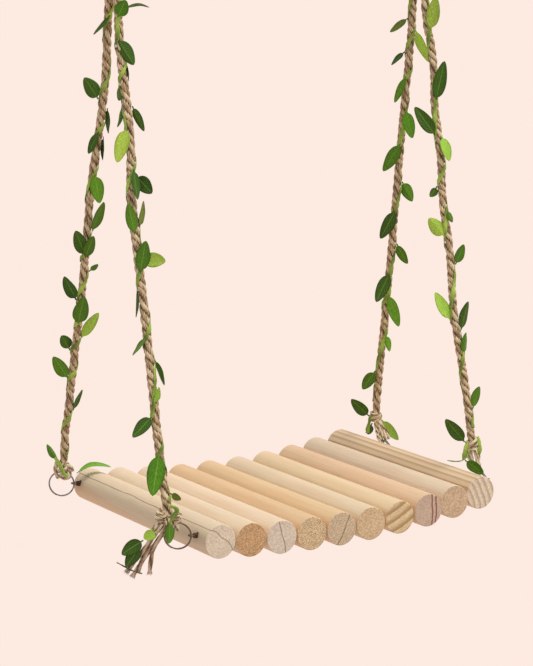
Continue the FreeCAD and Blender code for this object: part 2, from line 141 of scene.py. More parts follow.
class Side(Enum):
    """The two sides that the swing hangs from, as the sign of their X."""

    LEFT = -1
    RIGHT = 1

    @property
    def label(self) -> str:
        """The side's name as the frame writes it."""
        return self.name.lower()


# Lines and meshes


@dataclass
class Line:
    """A smooth line as close points, with the directions that a section keeps along it.

    Args:
        points: the points, one a row.
    """

    points: Array
    places: Array = field(init=False)
    tangents: Array = field(init=False)
    normals: Array = field(init=False)
    sides: Array = field(init=False)

    def __post_init__(self) -> None:
        """Works out the directions, each square section turned as little as it can be from the one before."""
        steps = np.linalg.norm(np.diff(self.points, axis=0), axis=1)
        self.places = np.concatenate([[0.0], np.cumsum(steps)])
        self.tangents = unit(np.gradient(self.points, axis=0))
        first = self.tangents[0]
        normals = [across(FRONT if abs(FRONT @ first) < 0.9 else UP, first)]
        for tangent in self.tangents[1:]:
            normals.append(across(normals[-1], tangent))
        self.normals = np.array(normals)
        self.sides = np.cross(self.tangents, self.normals)

    @property
    def length(self) -> float:
        """The line's length."""
        return float(self.places[-1])

    def at(self, places: Array) -> Array:
        """The points at some places along the line."""
        return np.stack([np.interp(places, self.places, axis) for axis in self.points.T], axis=1)

    def cut(self, start: float, end: float, step: float) -> "Line":
        """The part of the line between two places along it, with points about one step apart."""
        return Line(self.at(np.linspace(start, end, max(3, round((end - start) / step) + 1))))

    @classmethod
    def along(cls, route: Sequence[Array], step: float) -> "Line":
        """The smooth line of a cord that has a route's points as its control points.

        Args:
            route: the control points.
            step: the distance between the line's points.

        Returns:
            The line, read from the curve's own spline.
        """
        curve = bpy.data.curves.new("route", "CURVE")
        curve.dimensions = "3D"
        curve.resolution_u = 48
        spline = curve.splines.new("NURBS")
        spline.points.add(len(route) - 1)
        for control, point in zip(spline.points, route):
            control.co = (*point, 1.0)
        spline.order_u = 3
        spline.use_endpoint_u = True
        carrier = bpy.data.objects.new("route", curve)
        mesh = bpy.data.meshes.new_from_object(carrier)
        line = cls(np.array([vertex.co for vertex in mesh.vertices]))
        bpy.data.objects.remove(carrier)
        bpy.data.curves.remove(curve)
        bpy.data.meshes.remove(mesh)
        return line.cut(0.0, line.length, step)


def grid_faces(rows: int, columns: int) -> Array:
    """The quads of a grid of points that is numbered row by row, its last column joined to the first.

    Args:
        rows: how many rows it has.
        columns: how many points a row has.

    Returns:
        The quads, one a row.
    """
    i = np.arange(rows - 1)[:, None]
    j = np.arange(columns)[None, :]
    a = i * columns + j
    b = i * columns + (j + 1) % columns
    return np.stack([a, b, b + columns, a + columns], axis=-1).reshape(-1, 4)


def mount(mesh: bpy.types.Mesh, finish: Material, body: str, slot: str, *nodes: str) -> Piece:
    """Puts a mesh in the scene as a piece that moves with a body.

    Args:
        mesh: the mesh, under the piece's name.
        finish: its material.
        body: the body.
        slot: not used.
        nodes: the frame's nodes that the piece stands for.

    Returns:
        The piece.
    """
    mesh.materials.clear()
    mesh.materials.append(finish)
    made = bpy.data.objects.new(mesh.name, mesh)
    bpy.context.scene.collection.objects.link(made)
    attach(made, body)
    if nodes:
        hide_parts(*nodes)
    log.info("%s: %d faces on %s", made.name, len(mesh.polygons), body)
    return made


class Skin:
    """Points and faces that are collected for one mesh, with the values that its finish reads."""

    hair_steps = 5
    hair_sides = 3
    hair_hint = np.array([0.31, 0.22, 0.93])

    def __init__(self, rng: Random) -> None:
        """Starts with nothing in it, and with the source of its unevenness.

        Args:
            rng: that source.
        """
        self.rng = rng
        self.points: list[Array] = []
        self.faces: list[list[int]] = []
        self.values: dict[str, list[Array]] = {}
        self.count = 0

    def add(self, points: Array, faces: Array, **values: Array) -> None:
        """Adds one part.

        Args:
            points: its points, one a row.
            faces: its faces, as numbers of these points.
            values: a number or a vector for each point, by the name that the finish reads.
        """
        self.points.append(points)
        self.faces.extend((faces + self.count).tolist())
        for name, value in values.items():
            self.values.setdefault(name, []).append(value)
        self.count += len(points)

    def tube(self, sections: Array, **values: Array) -> None:
        """Adds a closed tube.

        Args:
            sections: its points by step along it and by place round it.
            values: the values of those points, laid out in the same way.
        """
        rows, columns = sections.shape[:2]
        total = rows * columns
        self.add(
            np.concatenate([sections.reshape(-1, 3), sections[[0, -1]].mean(axis=1)]), grid_faces(rows, columns),
            **{n: np.concatenate([v.reshape(total, *v.shape[2:]), v[[0, -1], 0]]) for n, v in values.items()})
        j = np.arange(columns)
        after = (j + 1) % columns
        first = np.full(columns, total)
        last = total - columns
        for cap in ([first, after, j], [first + 1, last + j, last + after]):
            self.faces.extend((np.stack(cap, axis=1) + self.count - total - 2).tolist())

    def hairs(self, roots: Array, heading: Array, lengths: Array, curl: Array, radius: float) -> None:
        """Adds thin tapered fibres, each a closed prism of three sides.

        Args:
            roots: where each begins.
            heading: where each points.
            lengths: how long each is.
            curl: which way each bends, as a share of its length.
            radius: how thick they are at the root.
        """
        steps = np.linspace(0, 1, self.hair_steps)
        each = self.hair_steps * self.hair_sides
        reach = lengths[:, None, None]
        middle = (roots[:, None] + heading[:, None] * steps[None, :, None] * reach
                  + curl[:, None] * steps[None, :, None] ** 2 * reach)
        normal = across(np.broadcast_to(self.hair_hint, heading.shape), heading)
        side = np.cross(heading, normal)
        corners = np.array([0, TURN / 3, 2 * TURN / 3])
        section = normal[:, None] * np.cos(corners)[None, :, None] + side[:, None] * np.sin(corners)[None, :, None]
        taper = radius * (1 - 0.7 * steps)
        points = (middle[:, :, None] + section[:, None] * taper[None, :, None, None]).reshape(-1, 3)
        shade = np.repeat(self.rng.uniform(0.5, 1.0, len(roots)), each)
        numbers = np.arange(len(roots))[:, None, None] * each
        caps = np.array([[2, 1, 0], [each - 3, each - 2, each - 1]]) + numbers + self.count
        faces = (grid_faces(self.hair_steps, self.hair_sides) + numbers).reshape(-1, 4)
        self.add(points, faces, lie=points, depth=np.zeros(len(points)), shade=shade)
        self.faces.extend(caps.reshape(-1, 3).tolist())

    def piece(self, name: str, finish: Material, body: str, slot: str, *nodes: str) -> Piece:
        """Makes the mesh and mounts it, with the arguments that mount has.

        Args:
            name: the piece's name.
            finish: its material.
            body: the body that it moves with.
            slot: the slot's name, passed on to mount.
            nodes: the frame's nodes that it stands for.

        Returns:
            The piece.
        """
        mesh = bpy.data.meshes.new(name)
        mesh.from_pydata(np.concatenate(self.points).tolist(), [], self.faces)
        for key, parts in self.values.items():
            value = np.concatenate(parts).astype(np.float32)
            kind, into = ("FLOAT_VECTOR", "vector") if value.ndim == 2 else ("FLOAT", "value")
            mesh.attributes.new(key, kind, "POINT").data.foreach_set(into, value.ravel())
        mesh.polygons.foreach_set("use_smooth", np.ones(len(mesh.polygons), bool))
        mesh.update()
        return mount(mesh, finish, body, slot, *nodes)


# Finishes


@dataclass
class Wiring:
    """Adds shader nodes to one tree and joins them.

    Args:
        tree: the material's or the group's tree.
    """

    tree: NodeTree

    def feed(self, node: Node, inputs: dict[str, Given] | dict[int, Given]) -> None:
        """Joins sockets to a node's inputs, or sets plain values there, by their names or places.

        Args:
            node: the node.
            inputs: what goes in, by the input's name or place.
        """
        for place, value in inputs.items():
            if isinstance(value, NodeSocket):
                self.tree.links.new(value, node.inputs[place])
            elif value is not None:
                node.inputs[place].default_value = value

    def node(self, kind: str, inputs: Sequence[Given] | dict[str, Given] = (), **settings: object) -> Node:
        """Adds a node.

        Args:
            kind: its type, without the words that every shader node's type starts with.
            inputs: what goes into it, by place or by name, as sockets or as plain values.
            settings: its own settings.

        Returns:
            The node.
        """
        made = self.tree.nodes.new("ShaderNode" + kind)
        for key, value in settings.items():
            setattr(made, key, value)
        self.feed(made, inputs if isinstance(inputs, dict) else dict(enumerate(inputs)))
        return made

    def sum(self, operation: str, *inputs: Given) -> NodeSocket:
        """The result of one step of arithmetic on numbers."""
        return self.node("Math", inputs, operation=operation).outputs[0]

    def times(self, first: Given, second: Given) -> NodeSocket:
        """The product of two numbers."""
        return self.sum("MULTIPLY", first, second)

    def centred(self, noise: Given, amount: Given) -> NodeSocket:
        """A noise brought to either side of 0, at an amount."""
        return self.times(self.sum("SUBTRACT", noise, 0.5), amount)

    def vector(self, operation: str, *inputs: Given) -> NodeSocket:
        """The result of one step of arithmetic on vectors."""
        made = self.node("VectorMath", inputs, operation=operation)
        return made.outputs["Value" if operation == "LENGTH" else "Vector"]

    def scaled(self, vector: Given, scale: Given) -> NodeSocket:
        """A vector or a colour times a number."""
        return self.vector("SCALE", vector, None, None, scale)

    def ramp(self, value: Given, low: float, high: float, start: float = 0.0, end: float = 1.0) -> NodeSocket:
        """A smooth step of a value: the start below the low end of it, and the end above the high one."""
        inputs = {"Value": value, "From Min": low, "From Max": high, "To Min": start, "To Max": end}
        return self.node("MapRange", inputs, interpolation_type="SMOOTHSTEP").outputs[0]

    def mix(self, share: Given, first: Given, second: Given) -> NodeSocket:
        """Two colours mixed, with a share of the second.

        Args:
            share: that share.
            first: the first colour.
            second: the second colour.

        Returns:
            The mixed colour.
        """
        made = self.node("Mix", [share], data_type="RGBA")
        self.feed(made, {6: first, 7: second})
        return made.outputs[2]

    def noise(self, vector: Given, scale: Given, detail: float = 2.0) -> NodeSocket:
        """A soft noise from 0 to 1."""
        return self.node("TexNoise", {"Vector": vector, "Scale": scale, "Detail": detail}).outputs["Fac"]

    def bump(self, height: Given, strength: float, distance: float) -> NodeSocket:
        """The normal of a surface that has a height."""
        return self.node("Bump", {"Height": height, "Strength": strength, "Distance": distance}).outputs[0]

    def value(self, name: str, output: str) -> NodeSocket:
        """A value that a mesh carries."""
        return self.node("Attribute", attribute_name=name).outputs[output]

    def coordinates(self) -> NodeSocket:
        """The place on the object."""
        return self.node("TexCoord").outputs["Object"]

    def place(self, group: NodeTree, **inputs: Given) -> dict[str, NodeSocket]:
        """Places a group, with underscores in the names of its inputs for spaces, and gives its outputs."""
        named = {key.replace("_", " "): value for key, value in inputs.items()}
        return self.node("Group", named, node_tree=group).outputs


class Socket(Enum):
    """What a group's socket carries."""

    NUMBER = "NodeSocketFloat"
    VECTOR = "NodeSocketVector"
    COLOUR = "NodeSocketColor"


def new_group(name: str, inputs: dict[Socket, Sequence[str]], outputs: dict[Socket, Sequence[str]]) \
        -> tuple[Wiring, dict[str, NodeSocket], Node]:
    """Starts a group of shader nodes.

    Args:
        name: its name.
        inputs: the names of what goes in, by what it is.
        outputs: the names of what comes out, by what it is.

    Returns:
        The wiring of its tree, its inputs and the node that its outputs go to.
    """
    tree = bpy.data.node_groups.new(name, "ShaderNodeTree")
    for in_out, sockets in (("INPUT", inputs), ("OUTPUT", outputs)):
        for kind, keys in sockets.items():
            for key in keys:
                tree.interface.new_socket(name=key, in_out=in_out, socket_type=kind.value)
    return Wiring(tree), tree.nodes.new("NodeGroupInput").outputs, tree.nodes.new("NodeGroupOutput")


def new_material(name: str) -> tuple[Material, Wiring, Node]:
    """Starts a material, and gives it with the wiring of its tree and its shader.

    Args:
        name: its name.

    Returns:
        The material, the wiring of its tree and its shader.
    """
    made = bpy.data.materials.new(name)
    made.use_nodes = True
    return made, Wiring(made.node_tree), made.node_tree.nodes["Principled BSDF"]


class Effects:
    """The shader groups that several finishes share."""

    leaf_edge = (0.015, 0.045, 0.002, 1.0)
    leaf_vein = (0.42, 0.64, 0.14, 1.0)
    leaf_under = (0.16, 0.3, 0.04, 1.0)

    def __init__(self) -> None:
        """Builds each group once."""
        self.patches = self.build_patches()
        self.figure = self.build_figure()
        self.fibre = self.build_fibre()
        self.veins = self.build_veins()

    @staticmethod
    def build_patches() -> NodeTree:
        """Broad patches that lighten and darken a natural surface.

        Returns:
            The group.
        """
        w, given, result = new_group(
            "natural_patches",
            {Socket.COLOUR: ("Color",), Socket.VECTOR: ("Coordinates",), Socket.NUMBER: ("Scale", "Amount")},
            {Socket.COLOUR: ("Color",)})
        change = w.centred(w.noise(given["Coordinates"], given["Scale"], 3.0), given["Amount"])
        w.feed(result, {"Color": w.scaled(given["Color"], w.sum("MULTIPLY_ADD", change, 2.0, 1.0))})
        return w.tree

    @staticmethod
    def build_figure() -> NodeTree:
        """The growth rings, fibres and pores of wood, for a round dowel along Y.

        Returns:
            The group.
        """
        w, given, result = new_group(
            "wood_figure",
            {Socket.VECTOR: ("Axis", "Pith"),
             Socket.NUMBER: ("Ring Width", "Waver", "Line Place", "Line Width", "Line Gap", "Last Line")},
            {Socket.NUMBER: ("Rings", "Line", "Fibre", "Pores", "Ends", "Height"), Socket.VECTOR: ("Coordinates",)})
        place = w.node("TexCoord").outputs
        local = w.vector("SUBTRACT", place["Object"], given["Axis"])
        long, short, fine = (w.vector("MULTIPLY", local, (1.0, share, 1.0)) for share in (0.05, 0.3, 0.02))
        flat = w.vector("MULTIPLY", w.vector("SUBTRACT", local, given["Pith"]), (1.0, 0.0, 1.0))
        distance = w.sum("ADD", w.vector("LENGTH", flat), w.centred(w.noise(long, 90.0), given["Waver"]))
        ring = w.sum("FRACT", w.sum("DIVIDE", distance, given["Ring Width"]))
        late = w.times(w.ramp(ring, 0.25, 0.85), w.ramp(ring, 0.9, 1.0, 1.0, 0.0))
        wander = w.centred(w.noise(short, 75.0), given["Waver"])
        past = w.sum("SUBTRACT", w.sum("ADD", distance, wander), given["Line Place"])
        nearest = w.sum("ROUND", w.sum("DIVIDE", past, given["Line Gap"]))
        number = w.sum("MINIMUM", w.sum("MAXIMUM", nearest, 0.0), given["Last Line"])
        away = w.sum("ABSOLUTE", w.sum("SUBTRACT", past, w.times(number, given["Line Gap"])))
        fibre = w.noise(fine, 1500.0, 3.0)
        pores = w.noise(short, 1300.0)
        ends = w.ramp(w.sum("ABSOLUTE", w.node("SeparateXYZ", [place["Normal"]]).outputs["Y"]), 0.55, 0.8)
        along = w.sum("SUBTRACT", fibre, w.times(late, 0.3))
        cut = w.sum("SUBTRACT", pores, w.times(late, -0.2))
        w.feed(result, {
            "Rings": late, "Fibre": fibre, "Pores": pores, "Ends": ends, "Coordinates": long,
            "Line": w.ramp(w.sum("DIVIDE", away, given["Line Width"]), 0.4, 1.0, 1.0, 0.0),
            "Height": w.node("Mix", [ends, None, along, cut], data_type="FLOAT").outputs[0]})
        return w.tree

    @staticmethod
    def build_fibre() -> NodeTree:
        """Spun plant fibre, from the coordinates that a strand carries along its twist, with painted shade in the
        grooves between strands and yarns.

        Returns:
            The group.
        """
        w, given, result = new_group(
            "spun_fibre",
            {Socket.COLOUR: ("Pale", "Middle", "Deep"), Socket.VECTOR: ("Along",), Socket.NUMBER: ("Depth", "Shade")},
            {Socket.COLOUR: ("Color",), Socket.NUMBER: ("Height",)})
        hair = w.noise(w.vector("MULTIPLY", given["Along"], (1.0, 1.0, 0.09)), 2600.0, 3.0)
        bundle = w.noise(w.vector("MULTIPLY", given["Along"], (1.0, 1.0, 0.2)), 900.0)
        tone = w.sum("ADD", w.times(hair, 0.4), w.times(bundle, 0.6))
        shaded = w.sum("ADD", tone, w.centred(given["Shade"], 0.22))
        body = w.mix(w.ramp(shaded, 0.42, 0.62), given["Middle"], given["Pale"])
        # Painted shade: the deepest colour fills the grooves that the groove shade marks, and also the darkest random
        # fibres.
        dark = w.sum("MAXIMUM", w.ramp(given["Depth"], 0.26, 0.85), w.ramp(shaded, 0.43, 0.3))
        w.feed(result, {"Color": w.mix(dark, body, given["Deep"]), "Height": hair})
        return w.tree

    @classmethod
    def build_veins(cls) -> NodeTree:
        """The veins and the shading of a cloth leaf, from the coordinates that a blade carries.

        Returns:
            The group.
        """
        w, given, result = new_group(
            "leaf_veins",
            {Socket.COLOUR: ("Tint",), Socket.VECTOR: ("Blade",), Socket.NUMBER: ("Under",)},
            {Socket.COLOUR: ("Color",), Socket.NUMBER: ("Height", "Veins")})
        blade = w.node("SeparateXYZ", [given["Blade"]]).outputs
        off = w.sum("ABSOLUTE", blade["Y"])
        step = w.sum("FRACT", w.sum("SUBTRACT", w.times(blade["X"], 7.0), w.times(off, 2.4)))
        near = w.sum("ABSOLUTE", w.sum("SUBTRACT", step, 0.5))
        side_veins = w.times(w.ramp(near, 0.03, 0.12, 1.0, 0.0), w.ramp(off, 0.5, 0.95, 1.0, 0.0))
        veins = w.sum("MAXIMUM", w.ramp(off, 0.02, 0.08, 1.0, 0.0), w.times(side_veins, 0.55))
        grain = w.noise(w.vector("MULTIPLY", given["Blade"], (6.0, 2.5, 9.0)), 2.2, 4.0)
        base = w.scaled(given["Tint"], w.sum("MULTIPLY_ADD", grain, 1.3, 0.38))
        edge = w.mix(w.times(w.ramp(off, 0.6, 1.0), 0.3), base, cls.leaf_edge)
        veined = w.mix(w.times(veins, 0.75), edge, w.mix(0.5, edge, cls.leaf_vein))
        w.feed(result, {
            "Color": w.mix(w.times(given["Under"], 0.3), veined, cls.leaf_under), "Veins": veins,
            "Height": w.sum("SUBTRACT", w.times(grain, 0.5), w.times(side_veins, 0.8))})
        return w.tree


@dataclass(frozen=True)
class WoodLook:
    """How one dowel's wood looks.

    Args:
        side: the colour along it.
        end: the colour of its cut ends.
        pith: where the tree's middle lies from the dowel's axis, right and up, in millimetres.
        ring: the width of a growth ring in millimetres.
        contrast: how dark the rings are on the cut ends, from 0 to 1.
        line: where a dark line lies from the pith, in millimetres, or 0 for none.
        line_width: the line's half width in millimetres.
        line_colour: the line's colour.
        lines: how many such lines there are.
        line_side: how strongly the line shows along the side.
        specks: how strongly the pores of the cut ends show.
        waver: how far the rings waver, in millimetres.
        grain: how strongly the rings show along the side, as a share of their contrast.
        blush_share: how strong the soft patches along the side are.
        mottle: how uneven the cut ends are.
        blush: the colour of the soft patches.
        line_gap: how far one line is from the next, in millimetres.
        line_end: how strongly the line shows on the cut ends.
        ring_tint: the colour of the rings.
        streak_tint: the colour of the fibres' shadows along the side.
        streak_share: how strong they are.
        speck_tint: the colour of the pores.
    """

    side: Paint
    end: Paint
    pith: tuple[float, float]
    ring: float
    contrast: float
    line: float = 0.0
    line_width: float = 0.5
    line_colour: Paint = (112, 82, 58)
    lines: int = 1
    line_side: float = 0.0
    specks: float = 0.3
    waver: float = 2.0
    grain: float = 0.5
    blush_share: float = 0.45
    mottle: float = 0.4
    blush: Paint = (226, 168, 116)
    line_gap: float = 4.8
    line_end: float = 0.85
    ring_tint: tuple[float, ...] = (0.42, 0.24, 0.1, 1.0)
    streak_tint: tuple[float, ...] = (0.38, 0.24, 0.12, 1.0)
    streak_share: float = 0.09
    speck_tint: tuple[float, ...] = (0.16, 0.08, 0.035, 1.0)

    def finish(self, name: str, axis: tuple[float, float], effects: Effects) -> Material:
        """Makes the dowel's material.

        Args:
            name: the material's name.
            axis: the dowel's X and Z.
            effects: the shared shader groups.

        Returns:
            The material.
        """
        made, w, shader = new_material(name)
        out = w.place(
            effects.figure, Axis=(axis[0], 0.0, axis[1]), Pith=(self.pith[0] * MM, 0.0, self.pith[1] * MM),
            Ring_Width=self.ring * MM, Waver=self.waver * MM, Line_Place=self.line * MM,
            Line_Width=self.line_width * MM, Line_Gap=self.line_gap * MM, Last_Line=self.lines - 1.0)
        ends = out["Ends"]
        patchy = w.ramp(w.noise(out["Coordinates"], 46.0), 0.46, 0.7, 0.0, self.blush_share)
        base = w.mix(ends, w.mix(patchy, paint(*self.side), paint(*self.blush)), paint(*self.end))
        spread = w.place(effects.patches, Color=base, Coordinates=out["Coordinates"], Scale=70.0, Amount=0.14)[0]
        rough = w.place(effects.patches, Color=spread, Coordinates=w.coordinates(), Scale=430.0, Amount=self.mottle)[0]
        rings = w.times(out["Rings"], w.ramp(ends, 0.0, 1.0, self.contrast * self.grain, self.contrast))
        ringed = w.mix(rings, w.mix(ends, spread, rough), self.ring_tint)
        streaks = w.times(w.ramp(out["Fibre"], 0.6, 0.3), w.ramp(ends, 0.0, 1.0, self.streak_share, 0.0))
        specks = w.times(w.ramp(out["Pores"], 0.54, 0.36), w.times(ends, self.specks))
        colour = w.mix(specks, w.mix(streaks, ringed, self.streak_tint), self.speck_tint)
        if self.line:
            strength = w.ramp(ends, 0.0, 1.0, self.line_side, self.line_end)
            colour = w.mix(w.times(out["Line"], strength), colour, paint(*self.line_colour))
        w.feed(shader, {"Base Color": colour, "Roughness": w.ramp(out["Fibre"], 0.2, 0.8, 0.62, 0.5),
                        "Normal": w.bump(out["Height"], 0.22, 0.0004), "Specular IOR Level": 0.3})
        return made


@dataclass(frozen=True)
class FibreLook:
    """How a spun cord's fibre looks, with its colours from the palest to the deepest; the deepest is also the painted
    shade in the grooves between strands and yarns.
    """

    pale: Paint
    middle: Paint
    deep: Paint

    def finish(self, name: str, effects: Effects) -> Material:
        """Makes the cord's material, under a name, from the shared shader groups.

        Args:
            name: the material's name.
            effects: the shared shader groups.

        Returns:
            The material.
        """
        made, w, shader = new_material(name)
        fibre = w.place(
            effects.fibre, Pale=paint(*self.pale), Middle=paint(*self.middle), Deep=paint(*self.deep),
            Along=w.value("lie", "Vector"), Depth=w.value("depth", "Fac"), Shade=w.value("shade", "Fac"))
        spread = w.place(effects.patches, Color=fibre["Color"], Coordinates=w.coordinates(), Scale=90.0, Amount=0.2)
        w.feed(shader, {"Base Color": spread[0], "Roughness": w.ramp(fibre["Height"], 0.2, 0.8, 0.92, 0.78),
                        "Normal": w.bump(fibre["Height"], 0.7, 0.0005), "Specular IOR Level": 0.2,
                        "Sheen Weight": 0.15, "Sheen Roughness": 0.5})
        return made


@dataclass(frozen=True)
class LeafLook:
    """How the cloth leaves and the vine look."""

    roughness: float = 0.45
    specular: float = 0.22

    def finish(self, name: str, effects: Effects) -> Material:
        """Makes the leaves' material, under a name, from the shared shader groups.

        Args:
            name: the material's name.
            effects: the shared shader groups.

        Returns:
            The material.
        """
        made, w, shader = new_material(name)
        veins = w.place(effects.veins, Tint=w.value("tint", "Color"), Blade=w.value("blade", "Vector"),
                        Under=w.value("under", "Fac"))
        w.feed(shader, {"Base Color": veins["Color"],
                        "Roughness": w.ramp(veins["Veins"], 0.0, 1.0, self.roughness, self.roughness + 0.15),
                        "Normal": w.bump(veins["Height"], 0.5, 0.0004), "Specular IOR Level": self.specular})
        return made


@dataclass(frozen=True)
class MetalLook:
    """How a wire or a ring looks, from its clean metal to its stains."""

    clean: Paint
    stain: Paint
    amount: float
    roughness: float

    def finish(self, name: str, effects: Effects) -> Material:
        """Makes the metal's material, under a name, from the shared shader groups.

        Args:
            name: the material's name.
            effects: the shared shader groups.

        Returns:
            The material.
        """
        made, w, shader = new_material(name)
        place = w.coordinates()
        spots = w.ramp(w.noise(place, 260.0, 4.0), 0.62 - self.amount * 0.4, 0.74)
        stained = w.mix(spots, paint(*self.clean), paint(*self.stain))
        spread = w.place(effects.patches, Color=stained, Coordinates=place, Scale=120.0, Amount=0.15)
        w.feed(shader, {"Base Color": spread[0], "Metallic": w.ramp(spots, 0.0, 1.0, 0.95, 0.35),
                        "Roughness": w.ramp(spots, 0.0, 1.0, self.roughness, 0.7),
                        "Normal": w.bump(w.noise(place, 2200.0, 3.0), 0.15, 0.0002)})
        return made


class Finishes:
    """Every finish that more than one piece of the swing has."""

    def __init__(self, effects: Effects) -> None:
        """Makes the materials from the shared shader groups.

        Args:
            effects: those groups.
        """
        # The third colour of each cord is its darkest fibre and also the painted shade in its grooves.
        self.rope = FibreLook((240, 216, 178), (184, 152, 112), (88, 63, 40)).finish("jute_rope", effects)
        self.twine = FibreLook((248, 232, 200), (226, 202, 164), (136, 106, 74)).finish("jute_twine", effects)
        self.tail = FibreLook((242, 218, 190), (200, 166, 134), (112, 86, 66)).finish("jute_tail", effects)
        self.fringe = FibreLook((248, 236, 220), (230, 212, 188), (178, 150, 124)).finish("jute_fringe", effects)
        self.leaf = LeafLook().finish("leaf_cloth", effects)
        self.wire = MetalLook((128, 116, 104), (88, 62, 44), 0.8, 0.5).finish("binding_wire", effects)
        self.twist = MetalLook((92, 72, 56), (72, 50, 36), 0.9, 0.55).finish("twisted_wire", effects)
        self.split_ring = MetalLook((128, 132, 134), (84, 74, 64), 0.3, 0.35).finish("split_ring", effects)
        self.worn_ring = MetalLook((132, 118, 98), (92, 70, 48), 0.7, 0.4).finish("worn_split_ring", effects)
        self.steel = MetalLook((196, 196, 196), (140, 136, 130), 0.1, 0.25).finish("polished_ring", effects)


@dataclass
class Workshop:
    """What every piece is made with.

    Args:
        effects: the shared shader groups.
        finishes: the shared finishes.
        rng: the source of all unevenness.
    """

    effects: Effects
    finishes: Finishes
    rng: Random

    def skin(self) -> Skin:
        """A new skin with nothing in it."""
        return Skin(self.rng)


# Rope


@dataclass(frozen=True)
class Lay:
    """How a rope or a twine is laid up.

    Args:
        diameter: across the whole cord.
        strands: how many strands lie round its middle.
        lay_length: how far a strand goes in one turn round the cord.
        yarns: how many yarns show round each strand.
        sides: how many points a strand's section has.
        hairs: how many loose fibres stand out, for each metre.
        hair_length: how long they are.
        fullness: how far the strands fill the grooves between them.
        wander: how far the lay as a whole drifts, as an angle.
        wobble: how far each strand drifts, as an angle.
        ridge: how high the yarns stand, as a share of the strand's radius.
        swell: how much the strand's thickness changes, as a share.
        groove: how much painted shade darkens the grooves between the yarns.
        yarn_lay: how far a yarn goes in one turn round its strand, as a share of the lay length.
        hair_radius: how thick a loose fibre is.
        wander_waves: how long the waves are that the lay as a whole drifts in.
        wobble_waves: how long those of each strand's drift are.
        swell_waves: how long those of its thickness are.
    """

    diameter: float
    strands: int
    lay_length: float
    yarns: int = 6
    sides: int = 20
    hairs: float = 420.0
    hair_length: float = 0.006
    fullness: float = 1.16
    wander: float = 0.24
    wobble: float = 0.14
    ridge: float = 0.07
    swell: float = 0.045
    groove: float = 0.42
    yarn_lay: float = 0.62
    hair_radius: float = 0.00011
    wander_waves: tuple[float, ...] = (0.024, 0.052, 0.091)
    wobble_waves: tuple[float, ...] = (0.037,)
    swell_waves: tuple[float, ...] = (0.013, 0.029)

    def spin(self, skin: Skin, line: Line) -> None:
        """Lays the strands round a cord's middle line, in a skin.

        Args:
            skin: what they are added to.
            line: the cord's middle.
        """
        rng, places = skin.rng, line.places
        strand_r = self.diameter / 2 / (1 + 1 / math.sin(math.pi / self.strands)) * self.fullness
        round_it = np.linspace(0, TURN, self.sides, endpoint=False)[None, :]
        start = rng.uniform(0, TURN)
        wander = self.wander * ripples(rng, places, self.wander_waves)
        for strand in range(self.strands):
            angle = start + TURN * strand / self.strands - TURN * places / self.lay_length + wander
            angle = angle + self.wobble * ripples(rng, places, self.wobble_waves)
            out = line.normals * np.cos(angle)[:, None] + line.sides * np.sin(angle)[:, None]
            middle = line.points + out * (self.diameter / 2 - strand_r)
            tangents = unit(np.gradient(middle, axis=0))
            out = across(out, tangents)
            side = np.cross(tangents, out)
            turned = round_it - TURN * places[:, None] / (self.lay_length * self.yarn_lay)
            ridges = np.cos(self.yarns * turned + rng.uniform(0, TURN))
            swell = ripples(rng, places, self.swell_waves)
            radius = strand_r * (1 + self.ridge * ridges + self.swell * swell[:, None])
            across_it = np.cos(round_it)[..., None] * out[:, None] + np.sin(round_it)[..., None] * side[:, None]
            lie = np.stack([np.cos(turned) * strand_r, np.sin(turned) * strand_r,
                            np.broadcast_to(places[:, None], turned.shape)], axis=-1) + strand * 0.05
            # Painted shade: darker on the side of each strand that faces the cord's middle, and in the grooves between
            # its yarns.
            depth = np.broadcast_to((1 - np.cos(round_it)) / 2, turned.shape) + self.groove * (1 - ridges) / 2
            drift = ripples(rng, places, (0.041,)) + np.sin(places / 0.016 * TURN)
            shade = np.broadcast_to(rng.uniform(0.3, 0.7) + 0.2 * drift[:, None], turned.shape)
            skin.tube(middle[:, None] + across_it * radius[..., None], lie=lie, depth=depth, shade=shade)
        self.fray(skin, line)

    def fray(self, skin: Skin, line: Line) -> None:
        """Adds the fibres that stand out along a cord's middle line, to a skin.

        Args:
            skin: what they are added to.
            line: the cord's middle.
        """
        rng, count = skin.rng, int(self.hairs * line.length)
        if not count:
            return
        at = rng.integers(1, len(line.points) - 1, count)
        angle = rng.uniform(0, TURN, count)[:, None]
        out = line.normals[at] * np.cos(angle) + line.sides[at] * np.sin(angle)
        side = np.cross(line.tangents[at], out)
        heading = unit(line.tangents[at] * rng.choice([-1.0, 1.0], count)[:, None]
                       + out * rng.uniform(0.1, 0.3, (count, 1)) + side * rng.uniform(-0.4, 0.4, (count, 1)))
        lengths = self.hair_length * rng.uniform(0.4, 1.0, count)
        curl = side * rng.uniform(-0.25, 0.25, (count, 1)) - out * rng.uniform(0.0, 0.3, (count, 1))
        skin.hairs(line.points[at] + out * self.diameter * 0.42, heading, lengths, curl, self.hair_radius)


# Leaves and vines


class Tone(Enum):
    """The greens of the leaves, as a screen shows them."""

    D = (56, 92, 16)
    M = (82, 126, 22)
    L = (170, 206, 78)
    O = (108, 128, 42)
    T = (72, 122, 14)
    B = (104, 164, 34)


